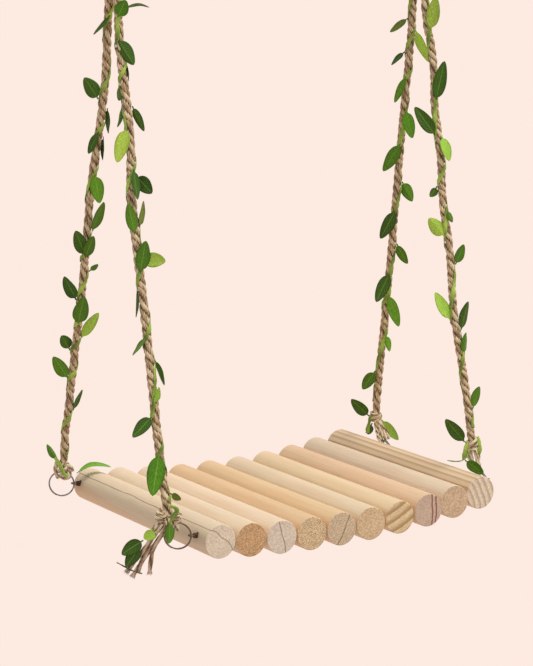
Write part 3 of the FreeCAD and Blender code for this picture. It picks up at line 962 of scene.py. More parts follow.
@dataclass(frozen=True)
class Blade:
    """Where one leaf of the frame lies.

    Args:
        root: where its stalk begins.
        tip: where it ends.
        normal: the way that its face looks.
        half: half its width.
    """

    root: Array
    tip: Array
    normal: Array
    half: float

    @classmethod
    def all_of(cls, node: str) -> list["Blade"]:
        """Reads the leaves of a node, from the highest root down.

        Args:
            node: the node's name.

        Returns:
            The leaves.
        """
        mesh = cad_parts[node].data
        places = np.round(np.array([vertex.co for vertex in mesh.vertices], float), 7)
        unique, numbers = np.unique(places, axis=0, return_inverse=True)
        numbers = numbers.ravel()
        joined = list(range(len(unique)))

        def first(number: int) -> int:
            """The point that stands for all those that a point is joined to.

            Args:
                number: the point.

            Returns:
                The one that stands for it.
            """
            while joined[number] != number:
                number = joined[number]
            return number

        for face in mesh.polygons:
            corners = [first(int(numbers[corner])) for corner in face.vertices]
            for corner in corners:
                joined[first(corner)] = first(corners[0])
        groups: dict[int, list[int]] = {}
        for number in range(len(unique)):
            groups.setdefault(first(number), []).append(number)
        return sorted((cls.read(unique[group]) for group in groups.values()), key=lambda blade: -blade.root[2])

    @classmethod
    def read(cls, points: Array) -> "Blade":
        """Reads one leaf from its solid's corners: its long way, its thin way, and its root at the wider end.

        Args:
            points: the corners, one a row.

        Returns:
            The leaf.
        """
        centre = points.mean(axis=0)
        along, side, normal = np.linalg.svd(points - centre, full_matrices=False)[2]
        reach = (points - centre) @ along
        spans = []
        for end in (reach.min(), reach.max()):
            near = points[np.abs(reach - end) < 0.0003]
            spans.append((np.ptp((near - centre) @ side), near.mean(axis=0)))
        (_, tip), (_, root) = sorted(spans, key=lambda span: span[0])
        half = float(np.ptp((points - centre) @ side)) / 2
        return cls(root, tip, -normal if normal @ FRONT < 0 else normal, half)


@dataclass(frozen=True)
class LeafCut:
    """The shape that the leaves are cut and bent to.

    Args:
        stalk: the stalk's length.
        stalk_half: half the stalk's width.
        thickness: how thick the cloth is.
        spread: how wide the cut is for the frame's leaf.
        rows: how many steps a blade has along it.
        columns: how many points a blade has across it.
        rib: how high the middle rib stands.
        rib_width: how wide it is.
    """

    stalk: float = 0.003
    stalk_half: float = 0.0007
    thickness: float = 0.00035
    spread: float = 1.08
    rows: int = 26
    columns: int = 13
    rib: float = 0.0002
    rib_width: float = 0.0006

    def add(self, skin: Skin, blade: Blade, tone: Tone, arch: float) -> None:
        """Adds a curved, folded leaf.

        Args:
            skin: what it is added to.
            blade: where it lies.
            tone: its green.
            arch: how high its middle stands over its ends, as a share of its length.
        """
        rng = skin.rng
        length = float(np.linalg.norm(blade.tip - blade.root))
        along = unit(blade.tip - blade.root)
        normal = across(blade.normal, along)
        side = np.cross(normal, along)
        u = np.linspace(0, 1, self.rows) ** 0.9
        v = np.linspace(-1, 1, self.columns)[None, :]
        share = np.clip((u * length - self.stalk) / (length - self.stalk), 0, 1)
        full = np.sin(math.pi * share ** 0.72) ** 0.6
        width = np.maximum(self.stalk_half * (1 - share), blade.half * self.spread * full)[:, None]
        bend = rng.uniform(-0.12, 0.28) * u ** 1.4
        steps = np.diff(u, prepend=0.0) * length
        lean = (rng.uniform(-0.35, 0.35) * u)[:, None]
        cup = rng.uniform(0.12, 0.42) * rng.choice([1.0, 1.0, -1.0])
        ripple = 0.05 * blade.half * np.sin(TURN * 1.7 * u + rng.uniform(0, TURN))[:, None] * v ** 2 * full[:, None]
        rise = cup * np.abs(v) ** 1.4 * width + ripple
        sideways = side * np.cos(lean) + normal * np.sin(lean)
        over = normal * np.cos(lean) - side * np.sin(lean)
        spine = (blade.root + along * np.cumsum(np.cos(bend) * steps)[:, None]
                 + normal * np.cumsum(np.sin(bend) * steps)[:, None]
                 + across(UP, along) * arch * length * np.sin(math.pi * u)[:, None])
        face = spine[:, None] + sideways[:, None] * (v * width)[..., None] + over[:, None] * rise[..., None]
        rib = self.rib * np.exp(-((v * width) / self.rib_width) ** 2) * (share > 0)[:, None]
        tilt = unit(np.cross(np.gradient(face, axis=0), np.gradient(face, axis=1)))
        tilt = np.where((tilt @ normal)[..., None] < 0, -tilt, tilt)
        thick = self.thickness * np.clip(width / self.stalk_half, 0.25, 1.0)
        front = face + tilt * (thick / 2 + rib)[..., None]
        back = face - tilt * (thick / 2)[..., None]
        ring = np.concatenate([front, back[:, ::-1]], axis=1)
        flat = (self.rows, self.columns)
        place = np.stack([np.broadcast_to(share[:, None], flat), np.broadcast_to(v, flat),
                          np.full(flat, rng.uniform(0, 5))], axis=-1)
        tint = np.array(paint(*tone.value)[:3]) * (rng.uniform(0.82, 1.2) * rng.uniform(0.93, 1.07, 3))
        under = np.concatenate([np.zeros(flat), np.ones(flat)], axis=1)
        skin.tube(ring[:, ::-1], blade=np.concatenate([place, place[:, ::-1]], axis=1)[:, ::-1],
                  tint=np.broadcast_to(tint, (*ring.shape[:2], 3)), under=under[:, ::-1])


@dataclass(frozen=True)
class LeafSet:
    """How a leaf that is bent off its place in the frame lies.

    Args:
        root: how far its root is moved, in millimetres to the left, up and to the front.
        tip: how far its tip is moved, in the same terms.
        arch: how high its middle stands over its ends, as a share of its length.
        roll: how far it is rolled about its length, in degrees.
    """

    root: Place = (0.0, 0.0, 0.0)
    tip: Place = (0.0, 0.0, 0.0)
    arch: float = 0.0
    roll: float = 0.0

    def bend(self, blade: Blade) -> Blade:
        """Moves and rolls a leaf from where the frame has it to where it lies.

        Args:
            blade: the frame's leaf.

        Returns:
            The leaf where it lies.
        """
        (root,), (tip,) = beside(blade.root, [self.root]), beside(blade.tip, [self.tip])
        along = unit(tip - root)
        normal = across(blade.normal, along)
        turn = math.radians(self.roll)
        return Blade(root, tip, normal * math.cos(turn) + np.cross(along, normal) * math.sin(turn), blade.half)


# By the leaf's node and its number in it, from the highest root down
LEAF_SETS = {
    ("leaves_left_front", 0): LeafSet((-2.0, -2.0, 0.0), (0.0, -1.0, 0.0), 0.16, 10.0),
    ("leaves_left_front", 22): LeafSet((0.0, 4.0, 1.0), (0.0, 5.0, 1.0)),
    ("leaves_left_rear", 16): LeafSet((0.5, 5.0, 0.0), roll=10.0),
    ("leaves_left_rear", 17): LeafSet((-6.5, -2.5, 1.0), (-2.0, -2.0, 0.0), 0.13, 55.0),
    ("tail_leaves", 0): LeafSet((4.0, 2.0, 1.0), (5.0, 3.0, 1.0)),
    ("tail_leaves", 1): LeafSet((2.0, 5.0, 0.0), (4.0, 7.0, 0.0)),
    ("tail_leaves", 2): LeafSet((3.0, 2.0, 0.0), (8.0, 3.0, 0.0)),
}


def grow(skin: Skin, node: str, tones: str) -> None:
    """Adds the leaves that the frame has in a node to a skin, with their greens from the highest root down.

    Args:
        skin: what they are added to.
        node: the node's name.
        tones: their greens.
    """
    for number, (blade, letter) in enumerate(zip(Blade.all_of(node), tones)):
        leaf_set = LEAF_SETS.get((node, number), LeafSet())
        LeafCut().add(skin, leaf_set.bend(blade), Tone[letter], leaf_set.arch)


@dataclass(frozen=True)
class Ribbon:
    """The flat green stem of a vine.

    Args:
        width: how wide it is.
        thickness: how thick it is.
        tone: its green.
        sides: how many points its section has.
        leaf_length: the length of stem that its finish takes for a leaf's.
    """

    width: float = 0.0042
    thickness: float = 0.0009
    tone: Paint = (146, 170, 72)
    sides: int = 10
    leaf_length: float = 0.03

    def add(self, skin: Skin, middle: Array, out: Array) -> None:
        """Adds a stem to a skin, along close points, with the way that its flat face looks at each.

        Args:
            skin: what it is added to.
            middle: its middle, one point a row.
            out: the way that its flat face looks, at each point.
        """
        rng = skin.rng
        tangents = unit(np.gradient(middle, axis=0))
        out = across(out, tangents)
        side = np.cross(tangents, out)
        round_it = np.linspace(0, TURN, self.sides, endpoint=False)[None, :]
        along = np.concatenate([[0.0], np.cumsum(np.linalg.norm(np.diff(middle, axis=0), axis=1))])[:, None]
        swell = 1 + 0.25 * ripples(rng, along, (0.031,)) * np.sin(along / 0.012 * TURN)
        across_it = (np.cos(round_it) * swell * self.width / 2)[..., None] * side[:, None]
        points = middle[:, None] + across_it + (np.sin(round_it) * self.thickness / 2)[..., None] * out[:, None]
        shape = points.shape[:2]
        blade = np.stack([np.broadcast_to(along / self.leaf_length, shape),
                          np.broadcast_to(0.2 + 0.3 * np.cos(round_it), shape), np.zeros(shape)], axis=-1)
        tint = np.array(paint(*self.tone)[:3]) * (1 + 0.3 * ripples(rng, along, (0.067, 0.026)))[..., None]
        skin.tube(points, blade=blade, tint=np.broadcast_to(tint, (*shape, 3)), under=np.zeros(shape))


@dataclass
class RopeLeg:
    """One rope that the seat hangs by, with the vine and the leaves on it.

    Args:
        corner: where it ends.
        lay: how it is laid up.
        tones: the greens of its leaves, from the top down.
        ties: the ends of the vine that are tied into the knot, as points beside the knot.
        bends: its bends: share of the way down, then the shift to the right and the splay, in bend units.
        shop: what it is made with.
        bend_unit: what the bends are measured in.
        offset: how far its top is from the middle of the top knot.
        hidden_top: how much of it the top knot hides.
        hidden_foot: how much of it the corner's knot hides.
        step: the distance between the line's points.
        vine_pitch: how far the vine goes down in one turn round the rope.
        vine_start: where the vine starts, as a share of the way down.
        vine_end: where it ends, in the same terms.
        vine_step: the distance between its points.
        vine_lift: how far it stands off the rope.
        vine_smoothing: over how many points its turns are evened out.
        vine_lead: how far round from its first leaf it starts, in degrees.
        vine_trail: how far round from its last leaf it ends, in degrees.
        vine_ripple: how long its ripples are.
        nearest_leaves: how near to each other it is led past two leaves, as a share of the way down.
        tie_step: the distance between a tie's points.
    """

    corner: Corner
    lay: Lay
    tones: str
    ties: Sequence[Route]
    bends: Route
    shop: Workshop
    bend_unit: float = 0.0094
    offset: float = 0.009
    hidden_top: float = 0.010
    hidden_foot: float = 0.003
    step: float = 0.0012
    vine_pitch: float = 0.070
    vine_start: float = 0.028
    vine_end: float = 0.965
    vine_step: float = 0.001
    vine_lift: float = 0.0003
    vine_smoothing: int = 13
    vine_lead: float = 70.0
    vine_trail: float = 60.0
    vine_ripple: float = 0.017
    nearest_leaves: float = 0.02
    tie_step: float = 0.0007
    line: Line = field(init=False)
    shown: Line = field(init=False)
    pieces: list[Piece] = field(init=False)

    def route(self) -> list[Array]:
        """The control points from the top knot to the corner's knot.

        Returns:
            The points, from the top down.
        """
        x_side, y_side = self.corner.value
        top = np.array([x_side * HALF_SPAN, y_side * self.offset, TOP_KNOT_HEIGHT])
        foot = self.corner.middle_of("knot")
        points = [top]
        for share, right_share, splay in self.bends:
            shift = RIGHT * (right_share * self.bend_unit) + np.array([0.0, y_side * splay * self.bend_unit, 0.0])
            points.append(top + (foot - top) * share + shift)
        return [*points, foot]

    def build(self) -> None:
        """Makes the rope, its vine and its leaves."""
        self.line = Line.along(self.route(), self.step)
        self.shown = self.line.cut(self.hidden_top, self.line.length - self.hidden_foot, self.step)
        skin = self.shop.skin()
        self.lay.spin(skin, self.shown)
        rope = self.piece(skin, "rope_leg", self.shop.finishes.rope, "jute", "rope")
        self.pieces = [rope, self.vine(), self.foliage()]

    def piece(self, skin: Skin, name: str, finish: Material, slot: str, node: str) -> Piece:
        """Makes a piece of a skin, with the corner's name after its own and its node's."""
        label = "_" + self.corner.label
        return skin.piece(name + label, finish, self.corner.body, slot, node + label)

    def leaf_places(self) -> list[tuple[float, float]]:
        """Where the leaves grow: the share of the way down, and the azimuth round the rope.

        Returns:
            The share and the azimuth of each leaf, from the top down.
        """
        places = []
        for blade in Blade.all_of("leaves_" + self.corner.label):
            away = np.linalg.norm(self.line.points - blade.root, axis=1)
            nearest = int(away.argmin())
            share = self.line.places[nearest] / self.line.length
            if share <= self.vine_end and away[nearest] <= self.lay.diameter:
                out = blade.root - self.line.points[nearest]
                places.append((share, math.degrees(math.atan2(out[1], out[0]))))
        return places

    def vine(self) -> Piece:
        """Winds the vine round the rope, past the root of each leaf, and ties its ends into the knot.

        Returns:
            The vine.
        """
        places = self.leaf_places()
        nodes = [(self.vine_start, places[0][1] + self.vine_lead)]
        for share, azimuth in places:
            if share - nodes[-1][0] > self.nearest_leaves:
                nodes.append((share, azimuth))
        nodes.append((self.vine_end, nodes[-1][1] - self.vine_trail))
        shares, turns = [nodes[0][0]], [nodes[0][1]]
        for share, azimuth in nodes[1:]:
            wanted = -360.0 * (share - shares[-1]) * self.line.length / self.vine_pitch
            turn = (azimuth - turns[-1]) % 360.0
            turn += 360.0 * round((wanted - turn) / 360.0)
            shares.append(share)
            turns.append(turns[-1] + turn)
        count = int((self.vine_end - self.vine_start) * self.line.length / self.vine_step)
        at = np.linspace(self.vine_start, self.vine_end, count)
        angle = np.pad(np.radians(np.interp(at, shares, turns)), self.vine_smoothing // 2, mode="edge")
        kernel = np.hanning(self.vine_smoothing)
        smooth = np.convolve(angle, kernel / kernel.sum(), mode="valid")
        level = np.stack([np.cos(smooth), np.sin(smooth), np.zeros(count)], axis=1)
        points = self.line.at(at * self.line.length)
        out = across(level, unit(np.gradient(points, axis=0)))
        ripple = self.vine_lift * np.sin(at * self.line.length / self.vine_ripple * TURN)
        lift = self.lay.diameter / 2 + self.vine_lift + ripple
        skin = self.shop.skin()
        Ribbon().add(skin, points + out * lift[:, None], out)
        for places in self.ties:
            tie = Line.along(beside(self.corner.middle_of("knot"), places), self.tie_step)
            Ribbon().add(skin, tie.points, tie.normals)
        return self.piece(skin, "vine_stem", self.shop.finishes.leaf, "vine", "vine")

    def foliage(self) -> Piece:
        """Makes the leaves where the frame has them, as one piece.

        Returns:
            The leaves.
        """
        skin = self.shop.skin()
        grow(skin, "leaves_" + self.corner.label, self.tones)
        return self.piece(skin, "foliage", self.shop.finishes.leaf, "leaf", "leaves")

    def declare(self, knot: Piece) -> None:
        """Does nothing with the rope or its corner's knot: the list that it makes is not kept."""
        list(self.pieces[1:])


# Knots


@dataclass(frozen=True)
class Wrap:
    """Turns of strand round an axis.

    Args:
        centre: its middle, in millimetres to the left, up and to the front of the knot.
        axis: the way that its axis points, in the same terms.
        radius: from the axis to the strand's middle, in millimetres.
        turns: how many turns it has.
        rise: how far one turn lies from the next, in millimetres.
        start: where the first turn starts, as an angle.
        sides: how many control points a turn has.
    """

    centre: Place
    axis: Place
    radius: float
    turns: float
    rise: float
    start: float
    sides: int = 12

    def route(self, knot: Array) -> list[Array]:
        """The control points of the turns, for the middle of the knot.

        Args:
            knot: the middle of the knot.

        Returns:
            The points.
        """
        axis = unit(LEFT * self.axis[0] + UP * self.axis[1] + FRONT * self.axis[2])
        first = across(FRONT if abs(FRONT @ axis) < 0.9 else UP, axis)
        second = np.cross(axis, first)
        middle = beside(knot, [self.centre])[0]
        reach = self.radius * MM / math.cos(math.pi / self.sides)
        count = max(3, round(self.turns * self.sides))
        points = []
        for step in range(count + 1):
            share = step / count
            angle = math.radians(self.start) + TURN * self.turns * share
            along = (share - 0.5) * self.turns * self.rise * MM
            points.append(middle + first * (reach * math.cos(angle)) + second * (reach * math.sin(angle))
                          + axis * along)
        return points


@dataclass
class CornerKnot:
    """The knot at one corner: wraps of strand and loose ends.

    Args:
        corner: where it is.
        lay: how its strand is laid up.
        wraps: its turns.
        ends: loose ends, each as points beside the knot.
        step: the distance between a line's points.
    """

    corner: Corner
    lay: Lay
    wraps: Sequence[Wrap]
    ends: Sequence[Route]
    step: float = 0.0006

    def build(self, shop: Workshop) -> Piece:
        """Makes the knot, with what every piece is made with.

        Args:
            shop: what every piece is made with.

        Returns:
            The knot.
        """
        knot = self.corner.middle_of("knot")
        skin = shop.skin()
        for route in [wrap.route(knot) for wrap in self.wraps] + [beside(knot, end) for end in self.ends]:
            self.lay.spin(skin, Line.along(route, self.step))
        return skin.piece("tied_knot_" + self.corner.label, shop.finishes.twine, self.corner.body, "jute",
                          "corner_knot_" + self.corner.label)


@dataclass
class TwineLoop:
    """A loop of twine from a right knot through its ring and back.

    Args:
        corner: where it is.
        lay: how the twine is laid up.
        reach: how far the loop's foot is from the ring's middle.
        half_width: half the loop's width at its foot.
        half_top: half its width at the knot.
        start: how much of each end the knot hides.
        step: the distance between the line's points.
    """

    corner: Corner
    lay: Lay = Lay(0.0035, 2, 0.014, yarns=4, sides=14, hairs=300.0, hair_length=0.003)
    reach: float = 0.01015
    half_width: float = 0.006
    half_top: float = 0.0024
    start: float = 0.004
    step: float = 0.0006

    def build(self, shop: Workshop) -> None:
        """Makes the loop.

        Args:
            shop: what every piece is made with.
        """
        knot, ring = self.corner.middle_of("knot"), self.corner.middle_of("ring")
        foot = ring + unit(knot - ring) * self.reach
        wide, narrow = np.array([self.half_width, 0, 0]), np.array([self.half_top, 0, 0])
        line = Line.along([knot - narrow, foot - wide, foot + wide, knot + narrow], self.step)
        line = line.cut(self.start, line.length - self.start, self.step)
        skin = shop.skin()
        self.lay.spin(skin, line)
        made = skin.piece("twine_loop_" + self.corner.label, shop.finishes.twine, self.corner.body, "jute",
                          "corner_loop_" + self.corner.label)


@dataclass
class TopHanger:
    """The rope loop over one hanging ring and the knot below it.

    Args:
        side: which side it is on.
        lay: how the rope is laid up.
        loop_radius: the radius of the loop's top.
        tucked: how far above the knot's middle the loop's ends are.
        rises: the heights of the control points between there and the loop's top.
        over: the angles of the control points over the loop's top, in degrees.
        knot_reach: how far the knot reaches from its middle.
        knot_rise: how far its turns cross over each other.
        knot_steps: how many steps its route has.
        knot_start: where its route starts, as an angle.
        step: the distance between a line's points.
    """

    side: Side
    lay: Lay = Lay(0.0094, 3, 0.037)
    loop_radius: float = 0.0077
    tucked: float = 0.010
    rises: tuple[float, ...] = (-0.018, -0.006)
    over: tuple[float, ...] = (157.5, 112.5, 67.5, 22.5)
    knot_reach: float = 0.0102
    knot_rise: float = 0.0048
    knot_steps: int = 36
    knot_start: float = 0.5
    step: float = 0.0008

    def build(self, shop: Workshop) -> None:
        """Makes the loop and the knot.

        Args:
            shop: what every piece is made with.
        """
        x = self.side.value * HALF_SPAN
        corner_r = self.loop_radius / math.cos(math.pi / 8)
        rising = [(-self.loop_radius, height) for height in (TOP_KNOT_HEIGHT + self.tucked, *self.rises)]
        angles = [math.radians(angle) for angle in self.over]
        over = [(corner_r * math.cos(angle), corner_r * math.sin(angle)) for angle in angles]
        falling = [(-y, z) for y, z in reversed(rising)]
        line = Line.along([np.array([x, y, z]) for y, z in rising + over + falling], self.step)
        loop = self.piece(shop, line, "ring_loop", "top_loop")
        knot = self.piece(shop, Line.along(self.knot_route(x), self.step), "rope_knot", "top_knot")

    def piece(self, shop: Workshop, line: Line, name: str, node: str) -> Piece:
        """Makes a piece of rope along a line, with the side's name after its own and its node's.

        Args:
            shop: what every piece is made with.
            line: the rope's middle.
            name: the piece's name.
            node: its node's name.

        Returns:
            The piece.
        """
        skin = shop.skin()
        self.lay.spin(skin, line)
        label = "_" + self.side.label
        return skin.piece(name + label, shop.finishes.rope, self.side.label + "_hanger", "jute", node + label)

    def knot_route(self, x: float) -> list[Array]:
        """The control points of one round of a threefold knot, at an X.

        Args:
            x: the X.

        Returns:
            The points.
        """
        middle = np.array([x, 0.0, TOP_KNOT_HEIGHT])
        route = []
        for step in range(self.knot_steps + 1):
            t = TURN * (step / self.knot_steps) + self.knot_start
            route.append(middle + np.array([
                -self.knot_rise * math.sin(3 * t),
                self.knot_reach / 3 * (math.sin(t) + 2 * math.sin(2 * t)),
                self.knot_reach / 3 * (math.cos(t) - 2 * math.cos(2 * t)),
            ]))
        return route


@dataclass
class FrayedTail:
    """The four strands that hang from the front left knot, in a collar of leaf, with a dry stem across them.

    Args:
        lay: how a strand is laid up.
        routes: the strands, as points beside the knot.
        dry_stem: the stem, in the same terms.
        stem: the stem's own size and colour.
        fringe_hairs: how many loose fibres a strand ends in.
        fringe_length: how long they are.
        fringe_radius: how thick they are.
        fringe_start: how far above the strand's end they begin.
        tones: the greens of the leaves.
        step: the distance between a strand's points.
        stem_step: the distance between the stem's points.
    """

    lay: Lay = Lay(0.0047, 2, 0.042, sides=18, hairs=700.0, hair_length=0.004, fullness=1.4)
    routes: Sequence[Route] = (
        ((6.4, -3.5, 2.6), (19.0, -18.0, 5.0), (31.0, -34.0, 4.0), (45.0, -53.0, 1.0)),
        ((2.5, -6.9, 3.8), (15.0, -23.0, 3.5), (26.5, -38.0, 2.0), (39.0, -57.0, 2.5)),
        ((6.4, -3.5, -2.6), (19.5, -19.5, -1.5), (27.0, -35.0, -3.0), (34.0, -54.0, -4.5)),
        ((2.5, -6.9, -3.8), (14.0, -22.0, -4.5), (20.5, -38.0, -7.0), (22.5, -57.0, -8.0)),
    )
    dry_stem: Route = ((54.0, -41.0, 6.0), (46.0, -45.0, 7.5), (38.0, -50.0, 7.5), (29.0, -53.0, 6.0))
    stem: Ribbon = Ribbon(0.0014, 0.0012, (70, 50, 34))
    fringe_hairs: int = 60
    fringe_length: float = 0.006
    fringe_radius: float = 0.00032
    fringe_start: float = 0.004
    tones: str = "LDD"
    step: float = 0.0007
    stem_step: float = 0.0006

    def build(self, shop: Workshop) -> None:
        """Makes the strands, their frayed ends and the leaves.

        Args:
            shop: what every piece is made with.
        """
        corner = Corner.LEFT_FRONT
        knot = corner.middle_of("knot")
        for number, places in enumerate(self.routes, 1):
            line = Line.along(beside(knot, places), self.step)
            skin, loose = shop.skin(), shop.skin()
            self.lay.spin(skin, line)
            self.fringe(loose, line)
            strand = skin.piece(
                f"frayed_strand_{number}", shop.finishes.tail, corner.body, "jute", f"tail_strand_{number}")
            fringe = loose.piece(f"strand_fringe_{number}", shop.finishes.fringe, corner.body, "jute")
        skin = shop.skin()
        grow(skin, "tail_leaves", self.tones)
        stem = Line.along(beside(knot, self.dry_stem), self.stem_step)
        self.stem.add(skin, stem.points, stem.normals)
        skin.piece("tail_foliage", shop.finishes.leaf, corner.body, "leaf", "tail_leaves")

    def fringe(self, skin: Skin, line: Line) -> None:
        """Adds the loose fibres at the end of a strand's middle line, to a skin.

        Args:
            skin: what they are added to.
            line: the strand's middle.
        """
        rng, count = skin.rng, self.fringe_hairs
        end, tangent = line.points[-1], line.tangents[-1]
        angle = rng.uniform(0, TURN, count)[:, None]
        out = line.normals[-1] * np.cos(angle) + line.sides[-1] * np.sin(angle)
        roots = end - tangent * self.fringe_start + out * self.lay.diameter / 2 * rng.uniform(0.2, 0.85, (count, 1))
        heading = unit(tangent + out * rng.uniform(0.02, 0.3, (count, 1)))
        skin.hairs(roots, heading, self.fringe_length * rng.uniform(0.5, 1.0, count), out * 0.08, self.fringe_radius)


@dataclass
class Tendril:
    """The thin stem that leaves the front right knot.

    Args:
        route: its points beside the knot.
        ribbon: its size and colour.
        step: the distance between the line's points.
    """

    route: Route = ((1.2, -4.9, 6.2), (7.0, -13.0, 13.0), (17.0, -17.0, 10.0), (27.0, -16.0, 5.0))
    ribbon: Ribbon = Ribbon(0.0012, 0.0010, (104, 138, 52))
    step: float = 0.0006

    def build(self, shop: Workshop) -> None:
        """Makes the stem.

        Args:
            shop: what every piece is made with.
        """
        corner = Corner.RIGHT_FRONT
        line = Line.along(beside(corner.middle_of("knot"), self.route), self.step)
        skin = shop.skin()
        self.ribbon.add(skin, line.points, line.normals)
        made = skin.piece("thin_tendril", shop.finishes.leaf, corner.body, "vine", "vine_tendril")


# The seat


@dataclass
class Seat:
    """The row of dowels with its wires, and the hanging rings. The dowels and the hanging rings are the frame's own.

    Args:
        looks: how each dowel looks, from the left.
    """

    looks: Sequence[WoodLook] = (
        WoodLook((228, 208, 178), (240, 222, 198), (-32, -33), 3.4, 0.10, 51.0, 0.6, line_side=0.75, waver=3.4),
        WoodLook((236, 214, 184), (228, 184, 136), (6, 22), 2.6, 0.25, specks=0.8, mottle=0.8),
        WoodLook((238, 214, 184), (235, 218, 198), (-98, -21), 6.0, 0.06, 101.5, 0.7, (120, 98, 80)),
        WoodLook((228, 194, 152), (250, 220, 176), (4, -7), 1.9, 0.2, specks=1.0, mottle=0.7, blush_share=0.6),
        WoodLook((230, 198, 154), (236, 211, 178), (-88, 47), 4.0, 0.14, 103.5, 0.7, (118, 92, 56), specks=0.8),
        WoodLook((232, 210, 178), (234, 203, 162), (8, 18), 3.0, 0.14, specks=0.4, mottle=0.6),
        WoodLook((236, 210, 170), (242, 213, 166), (-50, 108), 10.0, 0.8, waver=1.2, grain=0.3),
        WoodLook((232, 198, 162), (219, 190, 168), (-110, 4), 5.0, 0.08, 115.5, 1.2, (126, 58, 54), lines=2),
        WoodLook((230, 208, 180), (228, 196, 162), (10, 14), 3.2, 0.14, specks=0.4, mottle=0.5),
        WoodLook((232, 206, 172), (248, 229, 204), (-66, -26), 6.8, 0.55, waver=2.2, grain=1.1, mottle=0.3),
    )

    def build(self, shop: Workshop) -> None:
        """Gives the dowels, wires and rings their finishes.

        Args:
            shop: what every piece is made with.
        """
        for number, look in enumerate(self.looks, 1):
            name = f"dowel_{number:02d}"
            low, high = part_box(name)
            middle = (low + high) / 2
            self.dress(name, look.finish("pine_" + name, (middle.x, middle.z), shop.effects))
        for end in ("front", "rear"):
            BindingWire(end, len(self.looks)).build(shop)
        for side in Side:
            self.dress("hanging_ring_" + side.label, shop.finishes.steel)

    @staticmethod
    def dress(name: str, finish: Material) -> None:
        """Gives one of the frame's nodes a finish."""
        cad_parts[name].material_slots[0].material = finish
        log.info("%s: finish %s", name, finish.name)


@dataclass
class BindingWire:
    """A wire through the dowels, in a length for each, which rises with its dowel.

    Args:
        end: which end of the dowels it is near.
        dowels: how many dowels there are.
        far_out: a place past either end of the wire.
    """

    end: str
    dowels: int
    far_out: float = 1.0

    def build(self, shop: Workshop) -> None:
        """Cuts the frame's wire between each dowel and the next.

        Args:
            shop: what every piece is made with.
        """
        node = "binding_wire_" + self.end
        boxes = [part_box(f"dowel_{number:02d}") for number in range(1, self.dowels + 1)]
        middles = [(np.array(low) + np.array(high))[0] / 2 for low, high in boxes]
        cuts = [-self.far_out] + [(one + other) / 2 for one, other in zip(middles, middles[1:])] + [self.far_out]
        for number, (low, high) in enumerate(zip(cuts, cuts[1:]), 1):
            length = bmesh.new()
            length.from_mesh(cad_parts[node].data)
            for place, side in ((low, 1.0), (high, -1.0)):
                parts = length.verts[:] + length.edges[:] + length.faces[:]
                cut = bmesh.ops.bisect_plane(length, geom=parts, plane_co=(place, 0, 0), plane_no=(side, 0, 0),
                                             clear_inner=True)
                rim = [edge for edge in cut["geom_cut"] if isinstance(edge, bmesh.types.BMEdge)]
                if rim:
                    bmesh.ops.holes_fill(length, edges=rim)
            mesh = bpy.data.meshes.new(f"wire_length_{self.end}_{number:02d}")
            length.to_mesh(mesh)
            length.free()
            body = "seat" if number in (1, self.dowels) else f"dowel_{number:02d}_body"
            mount(mesh, shop.finishes.wire, body, "wire", node)


@dataclass
class SplitRing:
    """A corner's ring of round wire, coiled nearly twice round.

    Args:
        corner: where it is.
        radius: from its middle to the wire's.
        wire_r: the wire's radius.
        turns: how many turns it has.
        sides: how many points the wire's section has.
        steps: how many points it has along it.
        apart: how far each turn lies from the ring's plane, in wire radii.
        crossing: how soon one turn crosses over to the next, as an angle.
    """

    corner: Corner
    radius: float = 0.01345
    wire_r: float = 0.00075
    turns: float = 1.93
    sides: int = 12
    steps: int = 190
    apart: float = 1.04
    crossing: float = 0.5

    def build(self, shop: Workshop) -> None:
        """Coils the wire in the plane of the frame's ring.

        Args:
            shop: what every piece is made with.
        """
        node = "corner_ring_" + self.corner.label
        points = np.array([vertex.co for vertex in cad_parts[node].data.vertices], float)
        middle = (points.min(axis=0) + points.max(axis=0)) / 2
        first, second, normal = np.linalg.svd(points - points.mean(axis=0), full_matrices=False)[2]
        round_it = np.linspace(0, TURN, self.sides, endpoint=False)[None, :, None]
        along = np.linspace(0, self.turns * TURN, self.steps)
        offset = self.wire_r * self.apart * np.tanh((along - self.turns * math.pi) / self.crossing)
        out = first * np.cos(along)[:, None] + second * np.sin(along)[:, None]
        line = middle + out * self.radius + normal * offset[:, None]
        skin = shop.skin()
        skin.tube(line[:, None] + (out[:, None] * np.cos(round_it) + normal * np.sin(round_it)) * self.wire_r)
        finish = shop.finishes.worn_ring if self.corner is Corner.LEFT_FRONT else shop.finishes.split_ring
        skin.piece("split_ring_" + self.corner.label, finish, self.corner.body, "wire", node)


